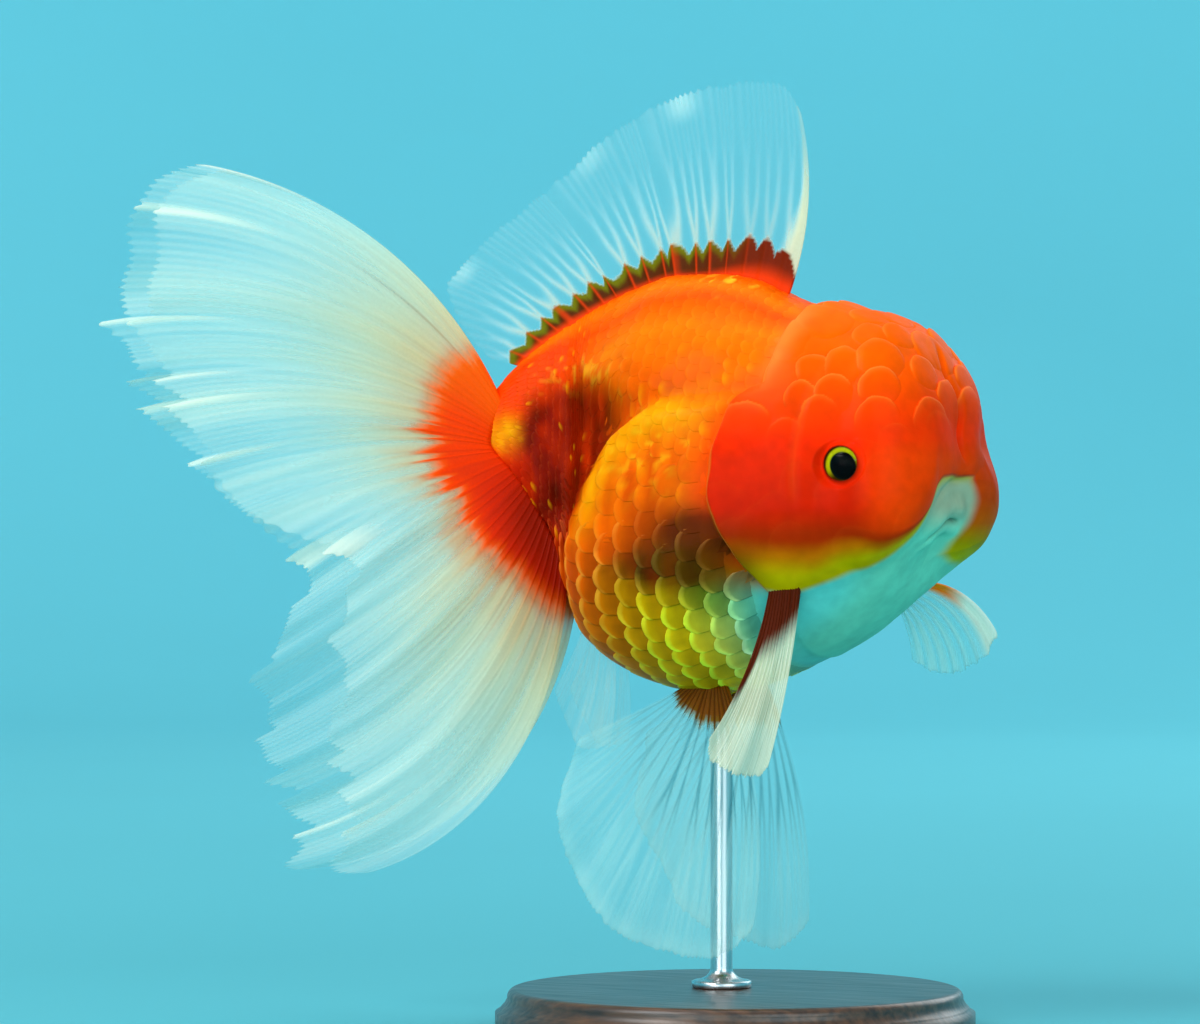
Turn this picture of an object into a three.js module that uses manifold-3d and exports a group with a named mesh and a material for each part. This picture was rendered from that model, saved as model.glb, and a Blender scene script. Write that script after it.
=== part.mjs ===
// A fancy goldfish of the oranda breed, life size, as a still model on a display stand.
// Millimetres, +Z up. The head points to +X and the fish's right side to -Y. The origin is the middle of the
// stand's underside. The body bends sideways: head and tail are both turned a little to the fish's right.
import * as THREE from "three";
import { mergeVertices } from "three/addons/utils/BufferGeometryUtils.js";
import Module from "manifold-3d";

const wasm = await Module();
wasm.setup();

// ---------------------------------------------------------------- driving dimensions
const SNOUT_X = 49.5; // front of the face
const TAIL_ROOT_X = -52; // end of the tail stalk
const BELLY_Z = 66.5; // lowest point of the belly above the table
const BODY_DEPTH = 86; // belly to back
const BODY_WIDTH = 63; // across the flanks
const HEAD_TURN_X = 10; // the head turns right in front of this
const HEAD_TURN = 0.0015; // how fast, in mm of offset per mm squared
const TAIL_TURN_X = -14; // the tail turns right behind this
const TAIL_TURN = 0.0065;
const PART_GAP = 0.3; // gap between neighbouring pieces

const HOOD_RISE = 2.4; // how far the fleshy hood stands above the skull line
const LOBE_RISE = 1.3; // height of the hood's lobes
const LOBE_COUNT = 110; // lobes on a whole sphere of directions, of which the head uses some
const EYE_RADIUS = 5;
const EYE = { x: 37.4, out: 19.2, z: 113 };

const STAND_RADIUS = 48;
const STAND_HEIGHT = 8;
const ROD_RADIUS = 2.2;
const ROD_X = -3;

// ---------------------------------------------------------------- small helpers
const lerp = THREE.MathUtils.lerp;
const clamp = THREE.MathUtils.clamp;
const smooth = THREE.MathUtils.smoothstep;
const rad = THREE.MathUtils.degToRad;
const vec = (x, y, z) => new THREE.Vector3(x, y, z);
const signedPower = (value, power) => Math.sign(value) * Math.abs(value) ** power;

// A smooth curve through [at, value] pairs that never overshoots between them.
function curve(pairs) {
  const at = pairs.map((p) => p[0]);
  const value = pairs.map((p) => p[1]);
  const last = at.length - 1;
  const slope = at.slice(1).map((t, i) => (value[i + 1] - value[i]) / (t - at[i]));
  const tangent = at.map((_, i) => {
    if (i === 0 || i === last) return slope[Math.min(i, last - 1)];
    const [before, after] = [slope[i - 1], slope[i]];
    return before * after <= 0 ? 0 : (2 * before * after) / (before + after);
  });
  return (x) => {
    const t = clamp(x, at[0], at[last]);
    let i = 0;
    while (i < last - 1 && t > at[i + 1]) i++;
    const span = at[i + 1] - at[i];
    const s = (t - at[i]) / span;
    const rise = s * s * (3 - 2 * s);
    return (
      value[i] * (1 - rise) + value[i + 1] * rise +
      span * (tangent[i] * s * (1 - s) ** 2 - tangent[i + 1] * s * s * (1 - s))
    );
  };
}

// ---------------------------------------------------------------- body
// Stations from tail root to snout: x, then the height of the back, the belly and the widest level above
// BELLY_Z as shares of the body's depth, the half width as a share of BODY_WIDTH / 2, and how full the section
// is above and below that level (2 is an ellipse, more is boxier).
const STATIONS = [
  [-52, 0.685, 0.52, 0.6, 0.13, 2.0, 2.0],
  [-46, 0.775, 0.43, 0.57, 0.19, 1.8, 2.0],
  [-40, 0.84, 0.34, 0.5, 0.26, 1.6, 2.0],
  [-34.5, 0.885, 0.2, 0.4, 0.4, 1.4, 2.0],
  [-29, 0.92, 0.115, 0.34, 0.84, 1.4, 2.2],
  [-22, 0.955, 0.06, 0.33, 0.95, 1.55, 2.3],
  [-12, 0.985, 0.015, 0.34, 0.99, 1.8, 2.2],
  [-3, 0.985, 0, 0.36, 1.0, 1.95, 2.2],
  [5, 0.972, 0.018, 0.38, 0.98, 2.0, 2.1],
  [14, 0.925, 0.055, 0.42, 0.9, 2.2, 2.1],
  [26, 0.876, 0.12, 0.47, 0.8, 2.5, 2.1],
  [37, 0.84, 0.2, 0.49, 0.66, 2.6, 2.1],
  [44, 0.795, 0.27, 0.5, 0.65, 2.4, 2.0],
  [50, 0.74, 0.35, 0.51, 0.57, 2.3, 2.0],
];
const column = (k, scale, offset = 0) => curve(STATIONS.map((row) => [row[0], row[k] * scale + offset]));
const backAt = column(1, BODY_DEPTH, BELLY_Z);
const bellyAt = column(2, BODY_DEPTH, BELLY_Z);
const levelAt = column(3, BODY_DEPTH, BELLY_Z);
const widthAt = column(4, BODY_WIDTH / 2);
const fullnessAbove = column(5, 1);
const fullnessBelow = column(6, 1);

// The left flank is stretched by the tail's bend, so it runs into the tail stalk with less of a step.
const STRETCH = { x: -36, length: 7, out: 4.5 };
const stretchAt = (x) => STRETCH.out * Math.exp(-(((x - STRETCH.x) / STRETCH.length) ** 2));

const FACE_ROUND = 13; // the last stretch before the snout closes over this length
const FACE_POWER = 2.3;
const faceClosing = (x) => {
  const t = clamp((x - SNOUT_X + FACE_ROUND) / FACE_ROUND, 0, 1);
  return (1 - t ** FACE_POWER) ** (1 / FACE_POWER);
};

// The middle line of the body seen from above, and its direction.
const bendAt = (x) =>
  -HEAD_TURN * Math.max(x - HEAD_TURN_X, 0) ** 2 - TAIL_TURN * Math.max(TAIL_TURN_X - x, 0) ** 2;
const headingAt = (x) =>
  Math.atan(-2 * HEAD_TURN * Math.max(x - HEAD_TURN_X, 0) + 2 * TAIL_TURN * Math.max(TAIL_TURN_X - x, 0));

// A point in the body's own frame: x along it, so far out to the right (or left if negative), z up.
function onBody(x, out, z) {
  const heading = headingAt(x);
  return vec(x + Math.sin(heading) * out, bendAt(x) - Math.cos(heading) * out, z);
}

// The plain body at x and angle: 0 is the back, a quarter turn the right flank, half a turn the belly.
function bodyPoint(x, angle, grow = 0) {
  const closing = faceClosing(x);
  const level = levelAt(x);
  const up = Math.cos(angle);
  const sideways = Math.sin(angle);
  const full = 2 / (up > 0 ? fullnessAbove(x) : fullnessBelow(x));
  const reach = up > 0 ? backAt(x) - level : level - bellyAt(x);
  const width = widthAt(x) + (sideways < 0 ? stretchAt(x) : 0);
  const out = (width * closing + grow) * signedPower(sideways, full);
  return onBody(x, out, level + (reach * closing + grow) * signedPower(up, full));
}

// ---------------------------------------------------------------- head relief
// The rear edge of the hood and gill covers: x against height.
const GILL_EDGE = [[84, 20], [92, 15], [102, 10], [116, 8], [126, 10.4], [132, 13.5], [140, 15], [150, 19]];
const gillEdgeAt = curve(GILL_EDGE);
// The hood's lower edge: height against distance from the middle line. It arches over the mouth.
const hoodEdgeAt = curve([
  [0, 110.5], [4, 109], [6.5, 105], [9, 99.6], [14, 93], [18, 89.6], [23, 87], [28, 88],
]);

// Broad swellings and hollows of the head: x, distance out on both sides, height, radius and rise.
const SWELLINGS = [
  [45, 16, 104, 11, 2.4], // cheek
  [30, 22, 100, 12, 1.2], // gill cover
  [47, 9, 123, 8, 1.0], // brow
  [49, 0, 120, 6, 1], // forehead
  [EYE.x, 24, EYE.z, 6, -1.6], // eye socket
  [51, 0, 106, 6, -2.6], // round the mouth
  [47, 0, 95, 8, 1.6], // jaw
];

// The hood's lobes are cells round these directions from the middle of the head.
const HEAD_MIDDLE = vec(24, 0, 112);
const lobeDirections = Array.from({ length: LOBE_COUNT }, (_, i) => {
  const height = 1 - (2 * i + 1) / LOBE_COUNT;
  const turn = i * Math.PI * (3 - Math.sqrt(5)) + 0.5 * Math.sin(i * 12.9898);
  const ring = Math.sqrt(1 - height * height);
  return vec(ring * Math.cos(turn), ring * Math.sin(turn), height);
});

// 0 in the groove between two lobes, 1 on a lobe.
function lobeAt(point) {
  const ray = point.clone().sub(HEAD_MIDDLE).normalize();
  let [first, second] = [9, 9];
  for (const direction of lobeDirections) {
    const distance = ray.distanceTo(direction);
    if (distance < first) [first, second] = [distance, first];
    else if (distance < second) second = distance;
  }
  return smooth(second - first, 0, 0.14);
}

// How far the head's flesh stands out from the plain body at a point of it.
function headRelief(x, point) {
  const out = Math.abs(point.y - bendAt(x));
  const front = smooth(x, gillEdgeAt(point.z) - 1, gillEdgeAt(point.z) + 3);
  const above = smooth(point.z, hoodEdgeAt(out) - 1.5, hoodEdgeAt(out) + 1.5);
  const crown = smooth(point.z, 112, 124);
  let relief = front * above * (HOOD_RISE + LOBE_RISE * crown * (lobeAt(point) - 0.5));
  for (const [atX, atOut, atZ, radius, rise] of SWELLINGS) {
    const distance = Math.hypot(x - atX, out - atOut, point.z - atZ);
    relief += front * rise * Math.exp(-((distance / radius) ** 2));
  }
  return relief;
}

function skinPoint(x, angle, grow = 0) {
  const plain = bodyPoint(x, angle, grow);
  if (x < 4) return plain;
  const middle = onBody(Math.min(x, SNOUT_X - FACE_ROUND), 0, levelAt(x));
  const outwards = plain.clone().sub(middle).normalize();
  return plain.addScaledVector(outwards, headRelief(x, plain));
}

// ---------------------------------------------------------------- solids
function toManifold(geometry) {
  const bare = geometry.clone();
  for (const name of Object.keys(bare.attributes).filter((n) => n !== "position")) bare.deleteAttribute(name);
  const merged = mergeVertices(bare, 1e-4);
  return new wasm.Manifold(
    new wasm.Mesh({
      numProp: 3,
      vertProperties: merged.attributes.position.array,
      triVerts: new Uint32Array(merged.index.array),
    }),
  );
}

function toGeometry(solid) {
  const mesh = solid.getMesh();
  const geometry = new THREE.BufferGeometry();
  geometry.setAttribute("position", new THREE.BufferAttribute(new Float32Array(mesh.vertProperties), 3));
  geometry.setIndex(new THREE.BufferAttribute(new Uint32Array(mesh.triVerts), 1));
  geometry.computeVertexNormals();
  return geometry;
}

// A closed solid from points and triangles, turned face out if needed.
function solidFrom(points, triangles) {
  const geometry = new THREE.BufferGeometry().setFromPoints(points);
  geometry.setIndex(triangles.flat());
  const solid = toManifold(geometry);
  if (solid.volume() >= 0) return solid;
  geometry.setIndex(triangles.map(([a, b, c]) => [a, c, b]).flat());
  return toManifold(geometry);
}

const largest = (solid) =>
  solid.decompose().reduce((best, piece) => (piece.volume() > best.volume() ? piece : best));

// The whole body as rings of points along x, closed at both ends.
function bodySolid(along, around, grow = 0) {
  const points = [];
  const triangles = [];
  for (let i = 1; i < along; i++) {
    const t = i / along;
    const x = lerp(SNOUT_X, TAIL_ROOT_X, 1 - Math.cos((Math.PI * t) / 2));
    for (let j = 0; j < around; j++) points.push(skinPoint(x, (2 * Math.PI * j) / around, grow));
  }
  for (let i = 0; i < along - 2; i++) {
    for (let j = 0; j < around; j++) {
      const [a, b] = [i * around + j, i * around + ((j + 1) % around)];
      triangles.push([a, b, b + around], [a, b + around, a + around]);
    }
  }
  const nose = points.push(onBody(SNOUT_X + grow, 0, levelAt(SNOUT_X))) - 1;
  const root = points.push(onBody(TAIL_ROOT_X - grow, 0, levelAt(TAIL_ROOT_X))) - 1;
  const lastRing = (along - 2) * around;
  for (let j = 0; j < around; j++) {
    const next = (j + 1) % around;
    triangles.push([nose, next, j], [root, lastRing + j, lastRing + next]);
  }
  return solidFrom(points, triangles);
}

// A prism: an outline in the XZ plane, pushed from y = from to y = to.
function prism(outline, from, to) {
  const shape = new THREE.Shape(outline.map(([x, z]) => new THREE.Vector2(x, z)));
  const geometry = new THREE.ExtrudeGeometry(shape, { depth: to - from, bevelEnabled: false });
  geometry.rotateX(Math.PI / 2).translate(0, to, 0);
  return toManifold(geometry);
}

// A thin closed sheet around a surface(a, r), with a and r from 0 to 1.
function sheetSolid(surface, thickness, [aFrom, aTo], acrossCount, alongCount) {
  const row = acrossCount + 1;
  const points = [[], []];
  for (let j = 0; j <= alongCount; j++) {
    for (let i = 0; i <= acrossCount; i++) {
      const a = lerp(aFrom, aTo, i / acrossCount);
      const r = j / alongCount;
      const across = surface(Math.min(a + 0.01, 1), r).sub(surface(Math.max(a - 0.01, 0), r));
      const along = surface(a, Math.min(r + 0.01, 1)).sub(surface(a, Math.max(r - 0.01, 0)));
      const half = across.cross(along).normalize().multiplyScalar(thickness(a, r) / 2);
      points[0].push(surface(a, r).add(half));
      points[1].push(surface(a, r).sub(half));
    }
  }
  const back = points[0].length;
  const triangles = [];
  for (let j = 0; j < alongCount; j++) {
    for (let i = 0; i < acrossCount; i++) {
      const [a, b, c, d] = [j * row + i, j * row + i + 1, (j + 1) * row + i + 1, (j + 1) * row + i];
      triangles.push([a, b, c], [a, c, d], [back + a, back + c, back + b], [back + a, back + d, back + c]);
    }
  }
  const rim = [];
  for (let i = 0; i < acrossCount; i++) rim.push(i);
  for (let j = 0; j < alongCount; j++) rim.push(j * row + acrossCount);
  for (let i = acrossCount; i > 0; i--) rim.push(alongCount * row + i);
  for (let j = alongCount; j > 0; j--) rim.push(j * row);
  rim.forEach((a, i) => {
    const b = rim[(i + 1) % rim.length];
    triangles.push([b, a, back + a], [b, back + a, back + b]);
  });
  return solidFrom(points.flat(), triangles);
}

// ---------------------------------------------------------------- fins
// A fan of rays. Each ray is an arc length(a) long that starts at root(a), leaves at angle start(a) and ends at
// angle finish(a), in degrees above "back". back(a) and up(a) are the fan's axes there, and wave(a, r) is how far
// the fan stands off sideways.
function fan({ root, back, up, start, finish, length, wave }) {
  return (a, r) => {
    const from = rad(start(a));
    const turn = rad(finish(a) - start(a)) || 1e-6;
    const run = (length(a) * (Math.sin(from + turn * r) - Math.sin(from))) / turn;
    const climb = (-length(a) * (Math.cos(from + turn * r) - Math.cos(from))) / turn;
    const side = back(a).clone().cross(up(a)).normalize();
    return root(a)
      .addScaledVector(back(a), run)
      .addScaledVector(up(a), climb)
      .addScaledVector(side, wave(a, r));
  };
}

const UP = vec(0, 0, 1);
// A level direction: degrees from straight back (-X) towards the fish's right (-Y).
const backwards = (degrees) => vec(-Math.cos(rad(degrees)), -Math.sin(rad(degrees)), 0);

// Fins are thick and fleshy where they leave the body, and thin at the edge.
const finThickness = (rootThickness) => (a, r) => 0.6 + (rootThickness - 0.6) * (1 - smooth(r, 0, 0.3));

const TAIL_SWING = 38; // the whole tail is turned this far to the right
const TAIL_FORK = 0.5; // where the fork is, as a share of the way down the fan
const tailRootX = curve([[0, -48.5], [0.35, -51], [0.6, -45], [0.8, -40], [1, -35]]);
const tailRootOut = curve([[0, 2], [0.5, 4], [1, 5.5]]);
const tailRootZ = curve([[0, 125], [0.35, 117], [0.6, 109], [0.8, 101], [1, 92]]);
const tailSplay = curve([[0, 7], [0.3, 13], [0.5, 21], [0.75, 29], [1, 31]]);
const tailStart = curve([
  [0, 70], [0.12, 48], [0.3, 22], [0.42, -2], [TAIL_FORK, -20], [0.62, -42], [0.75, -58], [1, -88],
]);
const tailFinish = curve([
  [0, -8], [0.12, -3], [0.3, -5], [0.42, -16], [TAIL_FORK, -34], [0.62, -28], [0.75, -20], [1, -8],
]);
const tailLength = curve([
  [0, 84], [0.05, 84], [0.12, 81], [0.2, 76], [0.3, 68], [0.4, 58], [0.46, 53], [TAIL_FORK, 43],
  [0.55, 47], [0.62, 58], [0.75, 72], [0.88, 84], [0.95, 90], [1, 87],
]);
// The left half of the tail is a little longer than the right.
const leftTailShare = curve([
  [0, 1.05], [0.25, 1.05], [0.42, 0.98], [TAIL_FORK, 1.14], [0.6, 1.3], [0.7, 1.22], [0.82, 1.12], [1, 1.05],
]);
const tailWave = (a, r) => 3 * r * r * Math.sin(2 * Math.PI * 5.5 * a) + 2 * Math.sin(Math.PI * r) * (0.5 - a);

// side is 1 for the fish's right half of the tail and -1 for its left half.
const tailHalf = (side) =>
  fan({
    root: (a) => onBody(tailRootX(a), side * tailRootOut(a), tailRootZ(a)),
    back: (a) => backwards(TAIL_SWING + side * tailSplay(a)),
    up: () => UP,
    start: tailStart,
    finish: tailFinish,
    length: (a) => tailLength(a) * (side > 0 ? 1 : leftTailShare(a)),
    wave: (a, r) => side * tailWave(a, r),
  });

const DORSAL_FRONT_X = 11;
const DORSAL_REAR_X = -44;
const dorsalX = (a) => lerp(DORSAL_FRONT_X, DORSAL_REAR_X, a ** 0.92);
const dorsalFin = fan({
  root: (a) => onBody(dorsalX(a), 0, backAt(dorsalX(a)) - 3),
  back: (a) => backwards(0.6 * THREE.MathUtils.radToDeg(headingAt(dorsalX(a)))),
  up: () => UP,
  start: curve([[0, 114], [0.12, 100], [0.35, 84], [0.6, 58], [0.8, 42], [0.92, 34], [1, 20]]),
  finish: curve([[0, 74], [0.12, 84], [0.35, 72], [0.6, 46], [0.8, 28], [0.92, 18], [1, 10]]),
  length: curve([
    [0, 40], [0.05, 43], [0.25, 41], [0.45, 35], [0.6, 30], [0.8, 28], [0.88, 27], [0.94, 20], [1, 8],
  ]),
  wave: (a, r) => 1.4 * r * Math.sin(5 * a + 1) + 0.6 * r * r * Math.sin(40 * a),
});

// Pelvic fins: two broad fans under the belly.
const pelvicFin = (side) =>
  fan({
    root: (a) => onBody(lerp(2.5, -7, a), side * 9, 69),
    back: () => backwards(side * 12),
    up: () => vec(0, side * 0.12, 1).normalize(),
    start: curve([[0, -116], [0.25, -96], [0.5, -72], [0.75, -50], [1, -28]]),
    finish: curve([[0, -82], [0.25, -83], [0.5, -66], [0.75, -46], [1, -24]]),
    length: curve([[0, 48], [0.2, 52], [0.4, 51], [0.6, 46], [0.8, 37], [1, 25]]),
    wave: (a, r) => 1.6 * r * r * Math.sin(22 * a),
  });

// Anal fins: a small pair under the tail stalk.
const analFin = (side) =>
  fan({
    root: (a) => onBody(lerp(-26, -31, a), side * 3, lerp(79, 84, a)),
    back: () => backwards(6),
    up: () => vec(0, side * 0.1, 1).normalize(),
    start: curve([[0, -102], [1, -76]]),
    finish: curve([[0, -80], [1, -62]]),
    length: curve([[0, 23], [0.4, 26], [1, 18]]),
    wave: (a, r) => r * r * Math.sin(12 * a),
  });

// Pectoral fins: the right one hangs down and out, the left one is held out in front.
const pectoralRight = fan({
  root: (a) => vec(lerp(24, 17, a), lerp(-18, -20, a), lerp(87, 85, a)),
  back: () => backwards(80),
  up: () => UP,
  start: curve([[0, -77], [1, -70]]),
  finish: curve([[0, -57], [1, -51]]),
  length: curve([[0, 36], [0.5, 39], [1, 36]]),
  wave: (a, r) => 0.5 * r * Math.sin(9 * a),
});
const pectoralLeft = fan({
  root: (a) => vec(lerp(23, 18, a), 19, lerp(88, 85, a)),
  back: () => backwards(-115),
  up: () => UP,
  start: curve([[0, 26], [1, -30]]),
  finish: curve([[0, -62], [0.5, -50], [1, -42]]),
  length: curve([[0, 33], [0.2, 34], [0.5, 29], [0.8, 20], [1, 9]]),
  wave: (a, r) => 0.8 * r * r * Math.sin(16 * a),
});

// ---------------------------------------------------------------- build
const paint = (color, roughness, metalness = 0) =>
  new THREE.MeshStandardMaterial({ color, roughness, metalness });
const RED_ORANGE = paint(0xf04a0c, 0.45);
const ORANGE = paint(0xf27a16, 0.4);
const PALE = paint(0xcfe0d8, 0.45);
const FIN = paint(0xe6ece4, 0.5);
const EYE_BLACK = paint(0x151208, 0.1);
const WOOD = paint(0x3b2417, 0.5);
const STEEL = paint(0xb8babc, 0.3, 1);

const fish = new THREE.Group();
function add(name, solid, material) {
  const mesh = new THREE.Mesh(toGeometry(largest(solid)), material);
  mesh.name = name;
  fish.add(mesh);
}

const BODY_RINGS = 36;
const BODY_SIDES = 32;
const body = bodySolid(BODY_RINGS, BODY_SIDES);
const bodyClearance = bodySolid(BODY_RINGS, BODY_SIDES, PART_GAP);

// The head ends at the gill edge, seen from the side.
const FAR = 60; // past the body's side
const gillLine = (dx) => GILL_EDGE.map(([z, x]) => [x + dx, z]);
const inFront = (dx) => prism([[24 + dx, 60], ...gillLine(dx), [19 + dx, 160], [90, 160], [90, 60]], -FAR, FAR);
let face = body.intersect(inFront(PART_GAP / 2));
const rest = body.subtract(inFront(-PART_GAP / 2));

// The tail stalk is the narrow end behind the belly.
const STALK_X = -36;
const behind = (dx) => prism([[STALK_X + dx, 60], [STALK_X + dx, 160], [-90, 160], [-90, 60]], -FAR, FAR);
add("trunk", rest.subtract(behind(PART_GAP / 2)), ORANGE);
add("tail_stalk", rest.intersect(behind(-PART_GAP / 2)), ORANGE);

// Eyes: balls sunk in the head. side is 1 for the right eye and -1 for the left.
const eyeBall = (side, radius) => {
  const place = onBody(EYE.x, side * EYE.out, EYE.z);
  return toManifold(new THREE.SphereGeometry(radius, 14, 8).translate(place.x, place.y, place.z));
};

// Lips: two flattened balls in the arch between the cheeks.
function lip([x, z, long, half, thick], grow = 0) {
  const place = onBody(x, 0, z);
  const geometry = new THREE.SphereGeometry(1, 12, 7);
  geometry.scale(long + grow, half + grow, thick + grow).rotateY(rad(24));
  return toManifold(geometry.translate(place.x, place.y, place.z));
}
const UPPER_LIP = [48.2, 106.2, 5.2, 5, 3];
const LOWER_LIP = [46.4, 99.8, 6, 4.6, 3];

for (const side of [1, -1]) face = face.subtract(eyeBall(side, EYE_RADIUS + PART_GAP));
for (const spec of [UPPER_LIP, LOWER_LIP]) face = face.subtract(lip(spec, PART_GAP));

// The hood's crown is the part of the head above the eyes.
const crownLine = [[90, 124], [44, 124], [30, 124.5], [18, 126], [5, 130]];
const above = (dz) => prism([...crownLine.map(([x, z]) => [x, z + dz]), [5, 165], [90, 165]], -FAR, FAR);
add("hood_crown", face.intersect(above(PART_GAP / 2)), RED_ORANGE);
face = face.subtract(above(-PART_GAP / 2));

// Gill covers: the outer plates behind the cheeks.
const COVER_DEPTH = 15;
const coverOutline = (dx) => [
  [26 + dx, 130], [28 + dx, 112], [25 + dx, 98], [20 + dx, 80], [0, 80], [0, 130],
];
for (const [name, side] of [["gill_cover_right", 1], ["gill_cover_left", -1]]) {
  const region = (grow) => {
    const ends = [-side * (COVER_DEPTH - grow), -side * FAR].sort((p, q) => p - q);
    return prism(coverOutline(grow), ...ends);
  };
  add(name, face.intersect(region(0)), RED_ORANGE);
  face = face.subtract(region(PART_GAP));
}
add("face", face, RED_ORANGE);
add("eye_right", eyeBall(1, EYE_RADIUS), EYE_BLACK);
add("eye_left", eyeBall(-1, EYE_RADIUS), EYE_BLACK);
add("lip_upper", lip(UPPER_LIP), PALE);
add("lip_lower", lip(LOWER_LIP).subtract(lip(UPPER_LIP, PART_GAP)), PALE);

// Fins start inside the body and are cut flush with it.
const onSkin = (solid) => largest(solid.subtract(bodyClearance));
for (const [sideName, side] of [["right", 1], ["left", -1]]) {
  const half = tailHalf(side);
  const thick = finThickness(2.6);
  add(`tail_fin_upper_${sideName}`, onSkin(sheetSolid(half, thick, [0, TAIL_FORK - 0.003], 12, 7)), FIN);
  add(`tail_fin_lower_${sideName}`, onSkin(sheetSolid(half, thick, [TAIL_FORK + 0.003, 1], 12, 7)), FIN);
  add(`pelvic_fin_${sideName}`, onSkin(sheetSolid(pelvicFin(side), finThickness(1.8), [0, 1], 12, 6)), FIN);
  add(`anal_fin_${sideName}`, onSkin(sheetSolid(analFin(side), finThickness(1.4), [0, 1], 6, 4)), FIN);
}
add("dorsal_fin", onSkin(sheetSolid(dorsalFin, finThickness(2), [0, 1], 20, 5)), FIN);
add("pectoral_fin_right", onSkin(sheetSolid(pectoralRight, finThickness(2), [0, 1], 7, 5)), FIN);
add("pectoral_fin_left", onSkin(sheetSolid(pectoralLeft, finThickness(2), [0, 1], 7, 5)), FIN);

// Stand: a round base and one rod up to the belly.
function lathe(profile, segments) {
  const outline = profile.map(([radius, z]) => new THREE.Vector2(radius, z));
  return toManifold(new THREE.LatheGeometry(outline, segments).rotateX(Math.PI / 2));
}
const baseProfile = [
  [0, 0], [STAND_RADIUS, 0], [STAND_RADIUS, STAND_HEIGHT - 2], [STAND_RADIUS - 2, STAND_HEIGHT],
  [0, STAND_HEIGHT],
];
add("stand_base", lathe(baseProfile, 56), WOOD);
const COLLAR_RADIUS = 6;
const ROD_FOOT = STAND_HEIGHT + PART_GAP;
const rodProfile = [
  [0, ROD_FOOT], [COLLAR_RADIUS, ROD_FOOT], [COLLAR_RADIUS, ROD_FOOT + 1.7], [ROD_RADIUS, ROD_FOOT + 3.7],
  [ROD_RADIUS, BELLY_Z + 12], [0, BELLY_Z + 12],
];
add("stand_rod", lathe(rodProfile, 20).translate([ROD_X, 0, 0]).subtract(bodyClearance), STEEL);

export default fish;
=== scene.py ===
"""A fancy goldfish of the oranda breed as a life-size display model on a stand.

One skin covers the flesh. Scales, fins, eyes and stand are pieces of their own. Shapes are worked out in
millimetres with +Z up: the head points to +X and the fish's right side to -Y. Meshes are made in metres.
"""
import math

import bpy
import numpy as np
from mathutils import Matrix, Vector


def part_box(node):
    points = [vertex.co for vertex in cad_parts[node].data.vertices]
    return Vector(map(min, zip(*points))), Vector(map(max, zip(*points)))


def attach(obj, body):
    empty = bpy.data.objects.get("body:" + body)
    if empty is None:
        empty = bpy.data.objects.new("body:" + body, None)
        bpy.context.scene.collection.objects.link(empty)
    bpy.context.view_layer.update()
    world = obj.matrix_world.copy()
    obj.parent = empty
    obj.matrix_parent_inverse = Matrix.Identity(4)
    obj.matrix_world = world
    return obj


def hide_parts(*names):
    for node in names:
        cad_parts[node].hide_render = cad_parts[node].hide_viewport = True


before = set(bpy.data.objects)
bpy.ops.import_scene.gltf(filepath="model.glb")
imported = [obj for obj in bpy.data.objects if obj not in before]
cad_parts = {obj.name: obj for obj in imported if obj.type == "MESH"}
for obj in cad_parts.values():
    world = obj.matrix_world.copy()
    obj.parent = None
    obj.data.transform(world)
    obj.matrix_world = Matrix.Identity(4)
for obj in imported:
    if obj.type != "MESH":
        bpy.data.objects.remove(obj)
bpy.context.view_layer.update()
BODY = "root"
MM = 0.001

# ---------------------------------------------------------------- driving dimensions
SNOUT_X = 49.5
TAIL_ROOT_X = -52
BELLY_Z = 66.5
BODY_DEPTH = 86
BODY_WIDTH = 63
HEAD_TURN_X = 10  # in front of this the body bends to the right, by HEAD_TURN times the squared distance
HEAD_TURN = 0.0015
TAIL_TURN_X = -14  # and behind this too
TAIL_TURN = 0.0065
FACE_ROUND = 13  # the length of the snout's round end
FACE_POWER = 2.3  # how full that end is: 2 is an ellipse
HOOD_RISE = 2.4  # how far the hood stands off the head
CREASE_DEPTH = 7.5  # how far the flank falls in behind the belly's bulge
EYE = (36.4, 20.7, 112.5)  # x, distance out and height of the middle of each eyeball
EYE_RADIUS = 5
EYE_OPENING = (3.55, 3.3)  # half width and half height of the part that shows

NECK_X = 4  # the skin's mesh is finer in front of this
SKIN_COLUMNS = 360  # round the body behind the neck, and twice as many in front
SKIN_RINGS = 500
UP = np.array((0, 0, 1.0))


# ---------------------------------------------------------------- numbers
def smooth(value, low, high):
    t = np.clip((value - low) / (high - low), 0, 1)
    return t * t * (3 - 2 * t)


def fall(value, low, high):
    return 1 - smooth(value, low, high)


def blend(a, b, share):
    """From a to b, for numbers or for colours with one share each."""
    a, b, share = np.asarray(a, float), np.asarray(b, float), np.asarray(share, float)
    if max(a.ndim, b.ndim) > share.ndim or (a.shape[-1:] == (3,) and b.shape[-1:] == (3,)):
        share = share[..., None]
    return a + (b - a) * share


def layered(colour, *layers):
    """The colour with other colours laid over it in turn, each a (colour, share) pair."""
    for over, share in layers:
        colour = blend(colour, over, share)
    return colour


def between(first, last, share):
    return first + (last - first) * share


def bump(value, middle, width):
    return np.exp(-(((value - middle) / width) ** 2))


def stacked(*parts):
    """Arrays or numbers side by side in a new last axis."""
    return np.stack(np.broadcast_arrays(*parts), axis=-1)


def unit(vectors):
    return vectors / np.maximum(np.linalg.norm(vectors, axis=-1, keepdims=True), 1e-9)


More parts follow.
